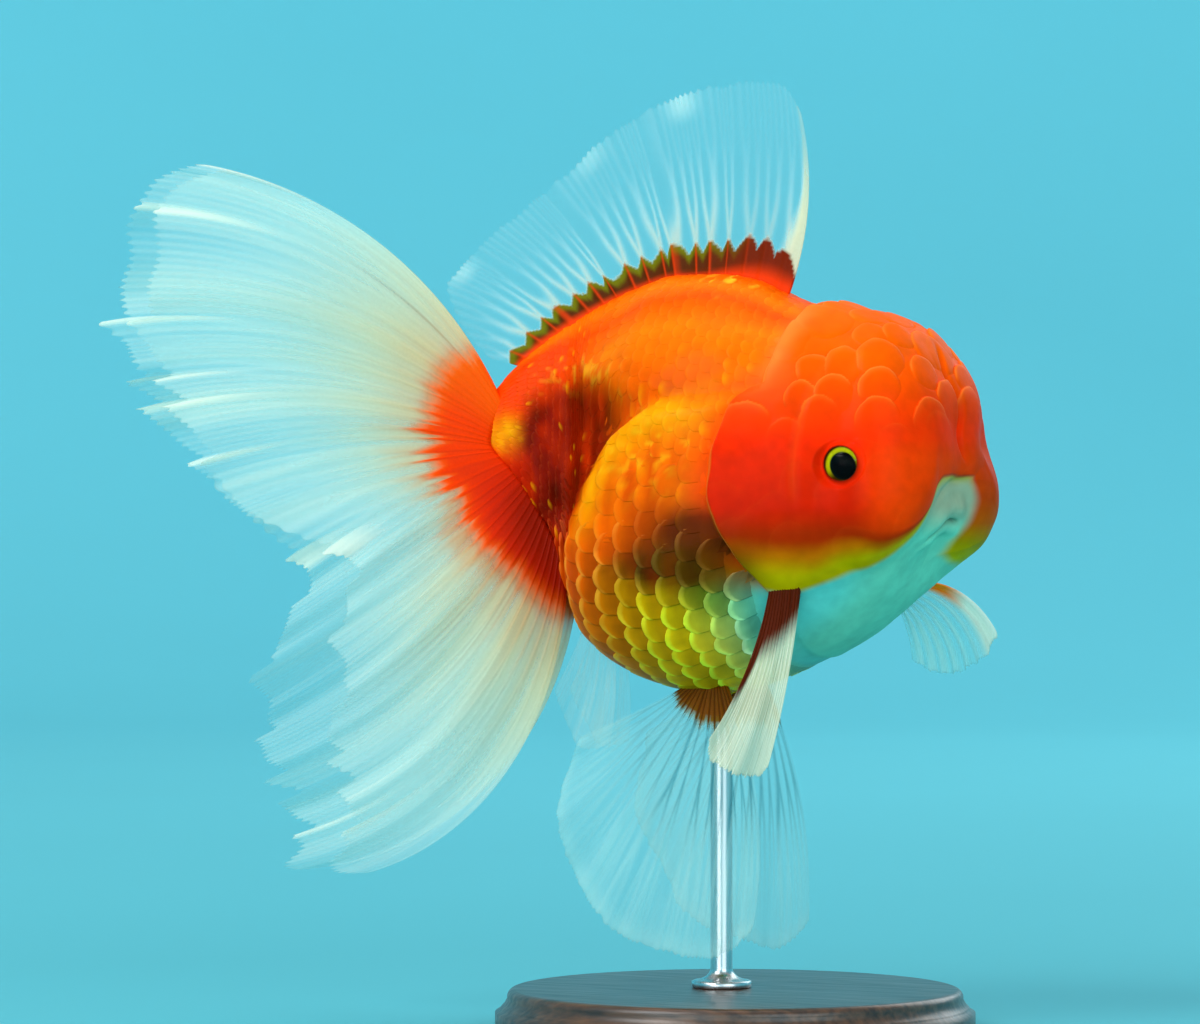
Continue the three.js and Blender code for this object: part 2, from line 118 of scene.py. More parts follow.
def curve(*pairs):
    """A smooth curve through (at, value) pairs that never overshoots between them."""
    at, value = np.array(pairs, float).T
    slope = np.diff(value) / np.diff(at)
    before, after = slope[:-1], slope[1:]
    product = before * after
    inner = np.where(product > 0, 2 * product / np.where(product > 0, before + after, 1), 0)
    tangent = np.concatenate([slope[:1], inner, slope[-1:]])

    def read(x):
        t = np.clip(x, at[0], at[-1])
        i = np.clip(np.searchsorted(at, t, side="right") - 1, 0, len(at) - 2)
        span = at[i + 1] - at[i]
        s = (t - at[i]) / span
        rise = s * s * (3 - 2 * s)
        bend = tangent[i] * s * (1 - s) ** 2 - tangent[i + 1] * s * s * (1 - s)
        return value[i] * (1 - rise) + value[i + 1] * rise + span * bend

    return read


CHANCE_FACTORS = (12.9898, 78.233, 37.719)  # any numbers that share no pattern
CHANCE_SPREAD = 43758.5453


def chance(*keys):
    """A fixed number from 0 to 1 for each set of keys, which looks random."""
    mixed = sum(np.asarray(key, float) * factor for key, factor in zip(keys, CHANCE_FACTORS))
    return np.modf(np.abs(np.sin(mixed + 0.5) * CHANCE_SPREAD))[0]


def noise(points, cell, seed=0):
    """Smooth noise from -1 to 1, in blobs about one cell wide."""
    place = np.asarray(points, float) / cell + 31.7 * seed
    corner = np.floor(place)
    part = place - corner
    part = part * part * (3 - 2 * part)
    total = 0
    for step in np.ndindex(2, 2, 2):
        share = np.prod(np.where(step, part, 1 - part), axis=-1)
        at = corner + step
        total = total + share * chance(at[..., 0], at[..., 1], at[..., 2])
    return 2 * total - 1


def cloud(points, cell, seed):
    """Smooth noise from 0 to 1."""
    return 0.5 + 0.5 * noise(points, cell, seed)


# ---------------------------------------------------------------- body
# Stations from tail root to snout: x, then the height of the back, the belly and the widest level above
# BELLY_Z as shares of the body's depth, the half width as a share of BODY_WIDTH / 2, and how full the section
# is above and below that level.
STATIONS = [
    (-52, 0.685, 0.52, 0.6, 0.13, 2.0, 2.0),
    (-46, 0.775, 0.43, 0.57, 0.19, 1.8, 2.0),
    (-40, 0.84, 0.34, 0.5, 0.26, 1.6, 2.0),
    (-34.5, 0.885, 0.2, 0.4, 0.4, 1.4, 2.0),
    (-29, 0.92, 0.115, 0.34, 0.84, 1.4, 2.2),
    (-22, 0.955, 0.06, 0.33, 0.95, 1.55, 2.3),
    (-12, 0.985, 0.015, 0.34, 0.99, 1.8, 2.2),
    (-3, 0.985, 0, 0.36, 1.0, 1.95, 2.2),
    (5, 0.972, 0.018, 0.38, 0.98, 2.0, 2.1),
    (14, 0.925, 0.055, 0.42, 0.9, 2.2, 2.1),
    (26, 0.876, 0.12, 0.47, 0.8, 2.5, 2.1),
    (37, 0.84, 0.2, 0.49, 0.66, 2.6, 2.1),
    (44, 0.795, 0.27, 0.5, 0.65, 2.4, 2.0),
    (50, 0.74, 0.35, 0.51, 0.57, 2.3, 2.0),
]


def column(k, scale, offset=0):
    return curve(*[(row[0], row[k] * scale + offset) for row in STATIONS])


back_at = column(1, BODY_DEPTH, BELLY_Z)
belly_at = column(2, BODY_DEPTH, BELLY_Z)
level_at = column(3, BODY_DEPTH, BELLY_Z)
width_at = column(4, BODY_WIDTH / 2)
fullness_above = column(5, 1)
fullness_below = column(6, 1)


def from_back(angle):
    """Degrees from the back, on either side."""
    return np.degrees(np.abs((angle + np.pi) % (2 * np.pi) - np.pi))


def stretch_at(x):
    """The left flank is stretched by the tail's bend."""
    return 4.5 * bump(x, -36, 7)


def face_closing(x):
    t = np.clip((x - SNOUT_X + FACE_ROUND) / FACE_ROUND, 0, 1)
    return (1 - t**FACE_POWER) ** (1 / FACE_POWER)


def bend_at(x):
    return -HEAD_TURN * np.maximum(x - HEAD_TURN_X, 0) ** 2 - TAIL_TURN * np.maximum(TAIL_TURN_X - x, 0) ** 2


def heading_at(x):
    turn = -2 * HEAD_TURN * np.maximum(x - HEAD_TURN_X, 0) + 2 * TAIL_TURN * np.maximum(TAIL_TURN_X - x, 0)
    return np.arctan(turn)


def on_body(x, out, z):
    """A point in the body's own frame: x along it, so far out to the right, and z up."""
    heading = heading_at(x)
    return stacked(x + np.sin(heading) * out, bend_at(x) - np.cos(heading) * out, z)


def plain_body(x, angle):
    """The plain body at x and angle: 0 is the back, a quarter turn the right flank, half a turn the belly."""
    closing = face_closing(x)
    level = level_at(x)
    up, sideways = np.cos(angle), np.sin(angle)
    full = 2 / np.where(up > 0, fullness_above(x), fullness_below(x))
    reach = np.where(up > 0, back_at(x) - level, level - belly_at(x))
    width = width_at(x) + np.where(sideways < 0, stretch_at(x), 0)
    out = width * closing * np.sign(sideways) * np.abs(sideways) ** full
    return on_body(x, out, level + reach * closing * np.sign(up) * np.abs(up) ** full)


# ---------------------------------------------------------------- head
# The rear edge of gill cover and hood at each height, with a notch where they meet.
gill_edge_at = curve(
    (84, 20), (91, 16.5), (95.6, 12.7), (101.7, 9.5), (107.6, 8.1), (112.9, 8.3), (117.8, 9.5), (122.8, 11.2),
    (126, 14), (127.4, 17.4), (129, 17.4), (133, 18.5), (143, 21), (150, 23),
)
# The hood's lower edge: its height at each distance out, and where the left cheek ends beside the mouth.
hood_edge_at = curve(
    (0, 109.6), (6, 109.2), (8, 107.8), (9.4, 104), (11.6, 99.6), (15, 95), (18.5, 91), (22, 88), (28, 88),
)
left_cheek_edge_at = curve(
    (93, -3.6), (97, -4.2), (99.4, -5), (103, -6), (105.5, -6.3), (108, -5.4), (109.6, -4)
)
LEFT_CHEEK_Z = 93.5  # its lowest point beside the mouth
HEAD_MIDDLE = np.array((24.0, 0.0, 112.0))

# Broad swellings and hollows of the head: x, distance out on both sides, height, radius and rise.
SWELLINGS = [
    (45, 16, 104, 11, 2.4),  # cheek
    (30, 22, 100, 12, 1.2),  # gill cover
    (46, 10, 125, 7, 0.8),  # brow
    (50, 0, 118, 5.5, -1.8),  # between the brows
    (51, 0, 106, 6, -1.6),  # round the mouth
    (48, 0, 93, 9, -2.2),  # jaw
    (40, 0, 86, 11, -2.2),  # throat
]

# The hood's largest lobes, on both sides: x, distance out, height and radius.
LARGE_LOBES = [
    (41.4, 15.0, 132.2, 5.0),
    (35.0, 19.4, 131.4, 4.2),
    (29.3, 22.4, 130.4, 3.8),
    (41.2, 7.4, 137.0, 3.6),
    (33.7, 6.0, 141.8, 4.4),
    (37.6, 12.6, 137.6, 3.6),
    (44.6, 1.5, 134.8, 4.6),
    (46.2, 7.0, 129.0, 3.6),
    (27.0, 13.4, 141.0, 6.2),
    (42.8, 17.4, 126.6, 4.2),
    (34.2, 22.0, 125.4, 4.2),
    (28.0, 24.6, 124.6, 3.8),
    (21.0, 19.5, 136.0, 5.0),
]
SMALL_LOBE_COUNT = 150  # on a whole sphere of directions, of which the hood uses some
SMALL_LOBE_SPACING = 4.6  # none stands nearer than this to a large lobe's middle
HEAD_RADIUS = 27
GOLDEN_TURN = math.pi * (3 - math.sqrt(5))


def hood_lobes():
    """The middle and the radius of each lobe."""
    middles, radii = [], []
    for x, out, z, radius in LARGE_LOBES:
        middles += [on_body(x, out, z), on_body(x + 1.3, -out, z - 0.8)]
        radii += [radius, radius]
    large = np.array(middles)
    for i in range(SMALL_LOBE_COUNT):
        height = 1 - (2 * i + 1) / SMALL_LOBE_COUNT
        turn = i * GOLDEN_TURN + 0.5 * math.sin(i * CHANCE_FACTORS[0])
        ring = math.sqrt(1 - height * height)
        way = np.array((ring * math.cos(turn), ring * math.sin(turn), height))
        nearest = (unit(large - HEAD_MIDDLE) @ way).max()
        if np.arccos(nearest) > SMALL_LOBE_SPACING / HEAD_RADIUS:
            middles.append(HEAD_MIDDLE + way * (HEAD_RADIUS + 1.5 * height))
            radii.append(3.6 + 1.4 * float(chance(i, 7)))
    return np.array(middles), np.array(radii)


LOBES = hood_lobes()


def lobes_at(points):
    """The height of the lobe at each point of the head, from 0 to 1, and how near its free edge that is on
    the side up and towards the tail, which takes a painted highlight.
    """
    wobble = 0.35 * stacked(*(noise(points, 2.2, seed) for seed in (1, 2, 3)))
    ray = unit(points + wobble - HEAD_MIDDLE)
    best = np.full(points.shape[:-1], -9.0)
    edge = np.zeros(points.shape[:-1])
    for middle, radius in zip(*LOBES):
        reach = np.linalg.norm(middle - HEAD_MIDDLE)
        way = (middle - HEAD_MIDDLE) / reach
        away = ray - way
        distance = np.linalg.norm(away, axis=-1) * reach / radius
        uphill = unit(np.array((-0.55, 0, 1.0)) - way * (way[2] - 0.55 * way[0]))
        lean = (away @ uphill) * reach / radius
        inside = np.clip(1 - distance**5, 0, 1)
        height = np.where(distance < 1, np.sqrt(inside) * 0.6 + 0.4 * lean, -9)
        wins = height > best
        near = 0.35 * smooth(distance, 0.6, 0.9) + 0.65 * smooth(distance, 0.85, 0.96)
        # Only the side of each free edge that faces up and towards the tail, for the painted highlight.
        edge = np.where(wins, near * smooth(lean, -0.1, 0.5), edge)
        best = np.maximum(best, height)
    return np.where(best < -1, 0, best), np.where(best < -1, 0, edge)


MOUTH_HALF = 5.6  # half the width of the mouth's slit
FAR = 99.0  # more than any share of an eye's opening


def mouth_relief(out, z):
    """Rolled lips with a slit between them, and a fold of the hood above."""
    slit = 100.6 - 0.3 * out - 0.05 * out * out
    across = fall(np.abs(out), MOUTH_HALF - 2.4, MOUTH_HALF + 1.6)
    upper = 1.8 * bump(z, slit + 2.8, 2.6)
    lower = 1.1 * bump(z, slit - 1.8, 1.7)
    cut = -1.1 * bump(z, slit, 0.5) * fall(np.abs(out), MOUTH_HALF - 2.2, MOUTH_HALF)
    fold = -1.0 * bump(z, slit + 8.2, 1.1)
    return across * (upper + lower + cut + fold), -cut


def eye_axes(side):
    """The middle of an eye, and unit vectors out of the head, towards the snout and up."""
    middle = on_body(EYE[0], side * EYE[1], EYE[2])
    outwards = unit(on_body(EYE[0], side * (EYE[1] + 1), EYE[2]) - middle)
    return middle, outwards, unit(np.cross(UP, outwards)) * -side, UP


def with_lids(points):
    """The skin drawn up to each eyeball as a close-fitting lid, and how far its points are from the middle of
    the nearer eye, as a share of its opening."""
    nearest = np.full(points.shape[:-1], FAR)
    for side in (1, -1):
        middle, outwards, forwards, up = eye_axes(side)
        away = points - middle
        height, ahead, above = away @ outwards, away @ forwards, away @ up
        share = np.hypot(ahead / EYE_OPENING[0], above / EYE_OPENING[1])
        share = np.where(height > -3, share, FAR)
        off_axis = np.hypot(ahead, above)
        ball = np.sqrt(np.maximum(EYE_RADIUS**2 - off_axis**2, 1))
        lid = ball + 0.1 * bump(share, 1.16, 0.14) + 0.1 - 2.6 * fall(share, 0.9, 1.04)
        hold = fall(share, 1.08, 1.5)
        points = points + outwards * ((lid - height) * hold)[..., None]
        nearest = np.minimum(nearest, share)
    return points, nearest


def head_relief(x, points):
    """How far the head's flesh stands out from the plain body, and the masks that colour it."""
    signed_out = bend_at(x) - points[..., 1]
    out = np.abs(signed_out)
    z = points[..., 2]
    lobe, edge = lobes_at(points)
    gill = gill_edge_at(z) + 0.7 * noise(points, 5.0, 4)
    front = smooth(x, gill - 0.6, gill + 1.6)
    rise = z - hood_edge_at(out)
    left_cheek = np.minimum(left_cheek_edge_at(z) - signed_out, z - LEFT_CHEEK_Z)
    rise = np.where(signed_out < 0, np.maximum(rise, left_cheek), rise) + 0.4 * noise(points, 4.0, 5)
    above = smooth(rise, -0.9, 1.1)
    crown = smooth(z, 117, 127)
    lumps = 0.04 + 0.8 * crown
    relief = front * (HOOD_RISE * smooth(rise, -5, 8) + above * lumps * (lobe - 0.55))
    for at_x, at_out, at_z, radius, swell in SWELLINGS:
        distance = np.sqrt((x - at_x) ** 2 + (out - at_out) ** 2 + (z - at_z) ** 2)
        relief = relief + front * swell * np.exp(-((distance / radius) ** 2))
    # The left brow overhangs the left cheek.
    under_brow = np.sqrt((x - 47) ** 2 + (signed_out + 12) ** 2 + (z - 116) ** 2)
    relief = relief - 2.6 * np.exp(-((under_brow / 5) ** 2))
    face = smooth(x, 40, 45)
    mouth, slit = mouth_relief(signed_out - 1.6, z)
    relief = relief + face * mouth
    # A groove parts the two halves of the hood down the forehead.
    groove = smooth(x, 36, 44) * smooth(z, 112, 116) * fall(z, 131, 135)
    relief = relief - 1.3 * groove * bump(signed_out, -1.2 + 0.8 * np.sin(z * 0.55), 0.75)
    # The cheek plate's rear groove, behind the eye.
    plate = bump(x, 27.0 + 0.012 * (z - 112) ** 2, 0.9) * smooth(out, 12, 16) * smooth(z, 104, 109)
    relief = relief - 0.35 * plate * fall(z, 124, 130)
    relief = relief + 0.12 * front * noise(points, 3.0, 6)
    left_cheek = smooth(-signed_out, 3, 6) * smooth(x, 38, 43)
    masks = dict(
        edge=edge, front=front, above=above, crown=crown, plate=plate, rise=rise, left_cheek=left_cheek,
        slit=face * slit,
    )
    return relief, masks


# How far back the belly's bulge reaches at each height: behind that, the flank falls in to the tail stalk.
bulge_edge_at = curve(
    (84, -46), (92, -35), (97, -30), (101, -27.5), (107, -24), (114, -19.5), (119, -14), (123, -8), (127, -1),
    (131, 8),
)
crease_top_at = curve((-46, 127), (-40, 131), (-33, 133.5), (-24, 133), (-15, 131), (-5, 128.5), (8, 127))


def crease_at(x, z):
    """How deep in the crease behind the bulge a place lies, from 0 to 1."""
    behind = bulge_edge_at(z) - x + 0.5 * np.sin(z * 0.9)
    return smooth(behind, -2.5, 11) * smooth(crease_top_at(x) - z, 0, 7) * smooth(x, -42, -31)


def trunk_relief(x, angle, points):
    """Folds of the flanks, and the layer that the scales take up."""
    high = from_back(angle)
    z = points[..., 2]
    trunk = fall(x, 8, 16)
    hollow = -0.9 * bump(high, 56, 4.5) * smooth(x, -12, 0)
    ridge = 0.8 * bump(high, 62, 4) * smooth(x, -20, -8)
    fold = 0.35 * bump(high, 25, 4) - 0.3 * bump(high, 31, 5)
    crease = -CREASE_DEPTH * crease_at(x, z)
    behind_gill = smooth(gill_edge_at(z) - x, -1.6, 0.6)
    relief = trunk * (hollow + ridge + fold * smooth(x, -20, -8)) + crease
    return relief - 0.55 * behind_gill + 0.15 * trunk * noise(points, 6.0, 9)


def skin_surface(x, angle):
    """Points of the skin, in millimetres, and the masks that colour it."""
    points = plain_body(x, angle)
    middle = on_body(np.minimum(x, SNOUT_X - FACE_ROUND), 0 * x, level_at(x))
    outwards = unit(points - middle)
    relief, masks = head_relief(x, points)
    head = smooth(x, NECK_X - 4, NECK_X + 2)
    relief = relief * head + trunk_relief(x, angle, points)
    points, masks["share"] = with_lids(points + outwards * relief[..., None])
    return points, masks


# Angles at even steps round the girth, so that the mesh is even: at share 0 the back, at a quarter the right
# flank.
TABLE_X = np.linspace(TAIL_ROOT_X, SNOUT_X - 0.02, 400)
TABLE_SHARES = np.linspace(0, 1, 721)


def girth_table():
    dense = np.linspace(0, 2 * np.pi, 1441)
    points = plain_body(TABLE_X[:, None], dense[None, :])
    steps = np.linalg.norm(np.diff(points, axis=1), axis=-1)
    run = np.concatenate([np.zeros((len(TABLE_X), 1)), np.cumsum(steps, axis=1)], axis=1)
    return np.array([np.interp(TABLE_SHARES, row / row[-1], dense) for row in run])


GIRTH_ANGLES = girth_table()


def angle_at(x, share):
    """The angle round the body at x and a share of its girth."""
    turns = np.floor(share)
    column_at = (share - turns) * (len(TABLE_SHARES) - 1)
    row_at = np.clip((x - TABLE_X[0]) / (TABLE_X[-1] - TABLE_X[0]), 0, 1) * (len(TABLE_X) - 1)
    i = np.minimum(row_at.astype(int), len(TABLE_X) - 2)
    j = np.minimum(column_at.astype(int), len(TABLE_SHARES) - 2)
    s, t = row_at - i, column_at - j
    low = GIRTH_ANGLES[i, j] * (1 - t) + GIRTH_ANGLES[i, j + 1] * t
    high = GIRTH_ANGLES[i + 1, j] * (1 - t) + GIRTH_ANGLES[i + 1, j + 1] * t
    return low * (1 - s) + high * s + 2 * np.pi * turns


# ---------------------------------------------------------------- colours
def srgb(red, green, blue):
    """A colour given as it shows on a screen, from 0 to 255, turned into light."""
    share = np.array((red, green, blue)) / 255
    return np.where(share < 0.04045, share / 12.92, ((share + 0.055) / 1.055) ** 2.4)


SCARLET = srgb(250, 38, 0)
RED_ORANGE = srgb(252, 60, 0)
ORANGE = srgb(255, 86, 0)
BRIGHT_ORANGE = srgb(255, 106, 0)
SOFT_ORANGE = srgb(255, 126, 6)
CRIMSON = srgb(206, 26, 0)
DARK_RED = srgb(98, 12, 0)
RED_BROWN = srgb(164, 36, 0)
BROWN = srgb(104, 52, 2)
DEEP_BROWN = srgb(66, 40, 0)
GOLD = srgb(255, 172, 0)
OLIVE = srgb(196, 112, 0)
GREEN_YELLOW = srgb(204, 166, 0)
# AQUA and THROAT_WHITE are pale flesh with the aqua of the water's light painted in.
AQUA = srgb(96, 200, 186)
THROAT_WHITE = srgb(116, 206, 174)
LIP_GREY = srgb(164, 172, 140)
SLIT_SHADE = srgb(60, 96, 84)
PALE_PINK = srgb(255, 132, 44)
FIN_WHITE = srgb(206, 234, 222)
PUPIL_BLACK = srgb(2, 2, 2)
SHADED_IRIS = srgb(48, 30, 0)
IRIS_YELLOW = srgb(186, 172, 8)


def ramp(value, *stops):
    """A colour for each value, through (at, colour) stops."""
    at, colours = zip(*stops)
    return stacked(*(np.interp(value, at, [colour[k] for colour in colours]) for k in range(3)))


def head_colour(x, out, z, masks):
    rise = masks["rise"]
    narrow = (1 - 0.6 * smooth(x, 38, 46)) * (1 - 0.8 * smooth(z, 98, 105))
    # Towards the lower rear corner the green turns brown, as painted shade.
    corner = fall(x, 14, 24) * fall(z, 94, 104)
    left_cheek = ramp(
        z, (93.5, srgb(190, 176, 0)), (97, srgb(166, 136, 0)), (101, srgb(196, 84, 0)),
        (106, srgb(212, 62, 0)), (112, srgb(222, 54, 0)), (120, srgb(228, 60, 0)),
    )
    flesh = layered(
        ramp(
            z, (99, RED_BROWN), (104, CRIMSON), (111, srgb(232, 34, 0)), (117, SCARLET), (124, RED_ORANGE),
            (133, ORANGE), (141, srgb(255, 94, 0)), (147, BRIGHT_ORANGE),
        ),
        (RED_ORANGE, smooth(x, 38, 46) * fall(z, 112, 122)),
        (CRIMSON, 0.4 * fall(x, 20, 30) * bump(z, 106, 7)),
        (RED_BROWN, 0.8 * fall(rise, 9 * narrow, 17 * narrow)),
        (OLIVE, fall(rise, 6.4 * narrow, 11.5 * narrow)),
        (GREEN_YELLOW, fall(rise, 3.6 * narrow, 8 * narrow)),
        # Painted shade at the lower rear corner.
        (blend(DEEP_BROWN, RED_BROWN, smooth(z, 92, 102)), 0.8 * corner),
        (left_cheek, masks["left_cheek"] * fall(z, 113, 121)),
    )
    # The pale throat, with the water's aqua light painted in.
    return layered(
        THROAT_WHITE,
        (AQUA, smooth(out, 10, 18) * fall(x, 30, 42)),
        (LIP_GREY, smooth(z, 98, 105) * smooth(x, 42, 46)),
        # Painted shade in the mouth's slit.
        (SLIT_SHADE, 0.6 * np.clip(masks["slit"], 0, 1)),
        (flesh, smooth(rise, -1.5, 1.3)),
    )


def belly_colour(x):
    # Towards the throat the belly turns to pale flesh with the water's aqua light painted in.
    return ramp(
        x, (-31, ORANGE), (-25, srgb(244, 84, 0)), (-18, srgb(226, 92, 0)), (-12, srgb(214, 122, 0)),
        (-5, srgb(224, 166, 0)), (2, srgb(238, 190, 8)), (7, srgb(236, 206, 60)), (11, srgb(186, 210, 116)),
        (14, srgb(120, 204, 164)), (17, AQUA), (26, THROAT_WHITE),
    )


def lower_shade_at(x, z):
    """The darkest patch of the flank, under the gill cover's lower rear corner."""
    return np.clip(1.5 * bump(x, 0.5, 11) * bump(z, 92.5, 4.8), 0, 1)


def flank_colour(x, high, z, low, behind):
    return layered(
        ramp(
            high, (0, ORANGE), (8, BRIGHT_ORANGE), (16, SOFT_ORANGE), (25, ORANGE), (36, SOFT_ORANGE),
            (47, BRIGHT_ORANGE), (55, ORANGE), (62, SOFT_ORANGE), (76, BRIGHT_ORANGE), (95, ORANGE),
        ),
        (RED_ORANGE, 0.95 * fall(x, -38, -20) * smooth(high, 8, 26)),
        (RED_ORANGE, 0.22 * smooth(z, 122, 134)),
        # Painted gold highlights along the ridge over the bulge and down the bulge's rear edge.
        (GOLD, 0.75 * bump(high, 63, 5) * bump(x, -4, 9)),
        (GOLD, 0.8 * bump(behind, -4, 4.5) * bump(z, 113, 12)),
        (OLIVE, smooth(low, 0, 0.4) * smooth(x, -8, 4)),
    )


def underside_colour(x, z):
    """Yellow to orange, with sides that turn green towards the throat."""
    return layered(
        belly_colour(x),
        (srgb(255, 184, 20), 0.8 * fall(z, 72, 84) * bump(x, 0, 10)),
        (srgb(255, 128, 0), 0.6 * fall(z, 76, 90) * fall(x, -16, -4)),
        (srgb(40, 120, 14), 0.85 * smooth(z, 77, 88) * bump(x, 7.5, 6)),
        (srgb(24, 130, 100), 0.6 * smooth(z, 84, 90) * bump(x, 14, 4)),
    )


def trunk_colour(x, high, z):
    """high is the angle from the back in degrees, on either side."""
    low = fall(z + 0.15 * x, 88, 97)
    behind = bulge_edge_at(z) - x
    patchy = cloud(stacked(x, 0, z), 3.2, 15)
    bands = cloud(stacked(x, 0, 0.3 * z), 2.4, 18)
    # Painted gold highlights: small flecks over the bulge, and glints near the dorsal fin's root and above
    # the crease.
    highlight_flecks = smooth(cloud(stacked(x, 0, z), 1.3, 19), 0.62, 0.8)
    glints = highlight_flecks * (bump(x, 3, 6) * bump(z, 149, 2.4) + 0.5 * bump(x, -28, 12) * bump(z, 130, 5))
    upper_shade = np.clip(1.3 * bump(x, 7, 12.5) * bump(z, 99, 6.6), 0, 1)
    # A painted shadow in a thin slanting band on the upper flank.
    streak = bump(z + 0.35 * x, 127, 2.2) * smooth(x, -22, -14) * fall(x, 2, 10)
    # Painted shade in the crease behind the belly's bulge, in mottled dark reds.
    crease = smooth(behind + 1.2 * (patchy - 0.5), -2, 5) * smooth(crease_top_at(x) - z, -2, 9)
    crease = crease * smooth(x, -52, -44) * (1 - 0.8 * smooth(x, -24, -12))
    mottled_shade = ramp(
        (bands + patchy) / 2, (0.2, srgb(70, 6, 0)), (0.5, srgb(140, 14, 0)), (0.8, srgb(214, 42, 0))
    )
    stalk = ramp(z, (100, srgb(120, 10, 0)), (110, CRIMSON), (118, SCARLET), (124, RED_ORANGE))
    # A painted highlight in gold on the tail stalk.
    stalk_highlight = fall(x, -47.5, -42.5) * bump(z, 119, 3.2)
    return layered(
        flank_colour(x, high, z, low, behind),
        (underside_colour(x, z), smooth(low, 0.3, 1)),
        (ORANGE, 0.55 * bump(x, -3, 14) * bump(z, 114, 9)),
        (srgb(222, 62, 0), 0.75 * smooth(bands, 0.25, 0.75) * bump(x, -9, 15) * bump(z, 108, 12)),
        # Painted gold highlights: flecks on the bulge, then glints.
        (srgb(255, 178, 20), 0.6 * highlight_flecks * bump(x, -8, 15) * bump(z, 116, 8)),
        (srgb(255, 200, 40), np.clip(glints, 0, 0.8)),
        (srgb(84, 24, 0), (0.88 + 0.12 * patchy) * upper_shade),
        (blend(srgb(40, 24, 0), srgb(98, 60, 0), patchy), lower_shade_at(x, z)),
        # The painted shadow band on the upper flank.
        (srgb(196, 62, 0), 0.3 * streak),
        # Painted shade in the crease, darkest deep in it.
        (mottled_shade, 0.95 * crease),
        (srgb(60, 10, 0), 0.25 * smooth(crease_at(x, z), 0.2, 0.9)),
        (stalk, 0.85 * fall(x, -47, -41) * (1 - 0.7 * bump(z, 119, 4))),
        # The painted highlight on the tail stalk.
        (GOLD, 0.9 * stalk_highlight * (0.55 + 0.45 * smooth(patchy + 0.6 * highlight_flecks, 0.3, 0.8))),
    )


def markings(points, x, angle, masks):
    """The colour of the skin, and of the scales that grow on it."""
    out = np.abs(bend_at(x) - points[..., 1])
    z = points[..., 2]
    front, above = masks["front"], masks["above"]
    on_hood = front * above
    behind_gill = gill_edge_at(z) - x
    # The throat runs back under the gill covers without a step.
    under = front * (1 - above) * fall(x, 12, 26)
    # A painted highlight in pale pink along the hood's rear edge.
    rim = front * fall(front, 0.7, 1) * above
    # The flank is redder close behind the gill covers.
    ruddy = fall(behind_gill, 0, 6.5) * smooth(z, 100, 108) * fall(z, 122, 130) * (1 - front)
    # A painted highlight round the hood's rear edge at the height of the crown.
    highlight_behind_crown = bump(behind_gill, -1.2, 2.6) * smooth(z, 124, 134) * fall(z, 141, 146)
    colour = layered(
        trunk_colour(x, from_back(angle), z),
        (head_colour(x, out, z, masks), front),
        (belly_colour(x), under * fall(z, 90, 96)),
        # Painted highlight on the lobes' edges.
        (PALE_PINK, on_hood * (0.02 + 0.48 * masks["crown"]) * masks["edge"]),
        (PALE_PINK, 0.06 * on_hood * masks["plate"]),
        # Painted highlight along the hood's rear edge.
        (PALE_PINK, np.clip(1.8 * rim, 0, 0.5)),
        (SCARLET, 0.55 * ruddy),
        # Painted highlight round the hood's rear edge beside the crown.
        (srgb(255, 146, 62), 0.45 * highlight_behind_crown),
        (srgb(52, 12, 0), 0.85 * bump(masks["share"], 1, 0.1)),
    )
    mottle = 1 + 0.07 * noise(points, 4.5, 11) + 0.05 * noise(points, 1.6, 12)
    return np.clip(colour * mottle[..., None], 0, 1)


# ---------------------------------------------------------------- meshes
def mesh_object(name, points, faces, tint=None, solid=None, corner_map=None):
    """An object from points in millimetres and lists of triangles and quads. tint is a colour for each point,
    solid how opaque it is there, and corner_map a place on the OFBake map for each corner."""
    mesh = bpy.data.meshes.new(name)
    mesh.vertices.add(len(points))
    mesh.vertices.foreach_set("co", (np.asarray(points) * MM).astype(np.float32).ravel())
    corners = np.concatenate([face.ravel() for face in faces]).astype(np.int32)
    counts = np.concatenate([np.full(len(face), face.shape[1]) for face in faces])
    mesh.loops.add(len(corners))
    mesh.loops.foreach_set("vertex_index", corners)
    mesh.polygons.add(len(counts))
    mesh.polygons.foreach_set("loop_start", (np.cumsum(counts) - counts).astype(np.int32))
    mesh.polygons.foreach_set("use_smooth", np.ones(len(counts), bool))
    mesh.update(calc_edges=True)
    if tint is not None:
        rgba = np.concatenate([tint, np.ones((len(tint), 1))], axis=1).astype(np.float32)
        mesh.attributes.new("tint", "FLOAT_COLOR", "POINT").data.foreach_set("color", rgba.ravel())
    if solid is not None:
        mesh.attributes.new("solid", "FLOAT", "POINT").data.foreach_set("value", solid.astype(np.float32))
    if corner_map is not None:
        layer = mesh.uv_layers.new(name="OFBake")
        layer.uv.foreach_set("vector", corner_map.astype(np.float32).ravel())
    piece = bpy.data.objects.new(name, mesh)
    bpy.context.scene.collection.objects.link(piece)
    return piece


def grid_quads(index):
    """The quads of a grid of point numbers."""
    return stacked(index[:-1, :-1], index[1:, :-1], index[1:, 1:], index[:-1, 1:]).reshape(-1, 4)


def outline(index):
    """The point numbers round the edge of a grid."""
    return np.concatenate([index[:-1, 0], index[-1, :-1], index[:0:-1, -1], index[0, :0:-1]])


def on_model(piece, material, slot, *nodes):
    """Gives a piece its material, and its place in the model."""
    piece.data.materials.append(material)
    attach(piece, BODY)
    if nodes:
        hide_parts(*nodes)
    return piece


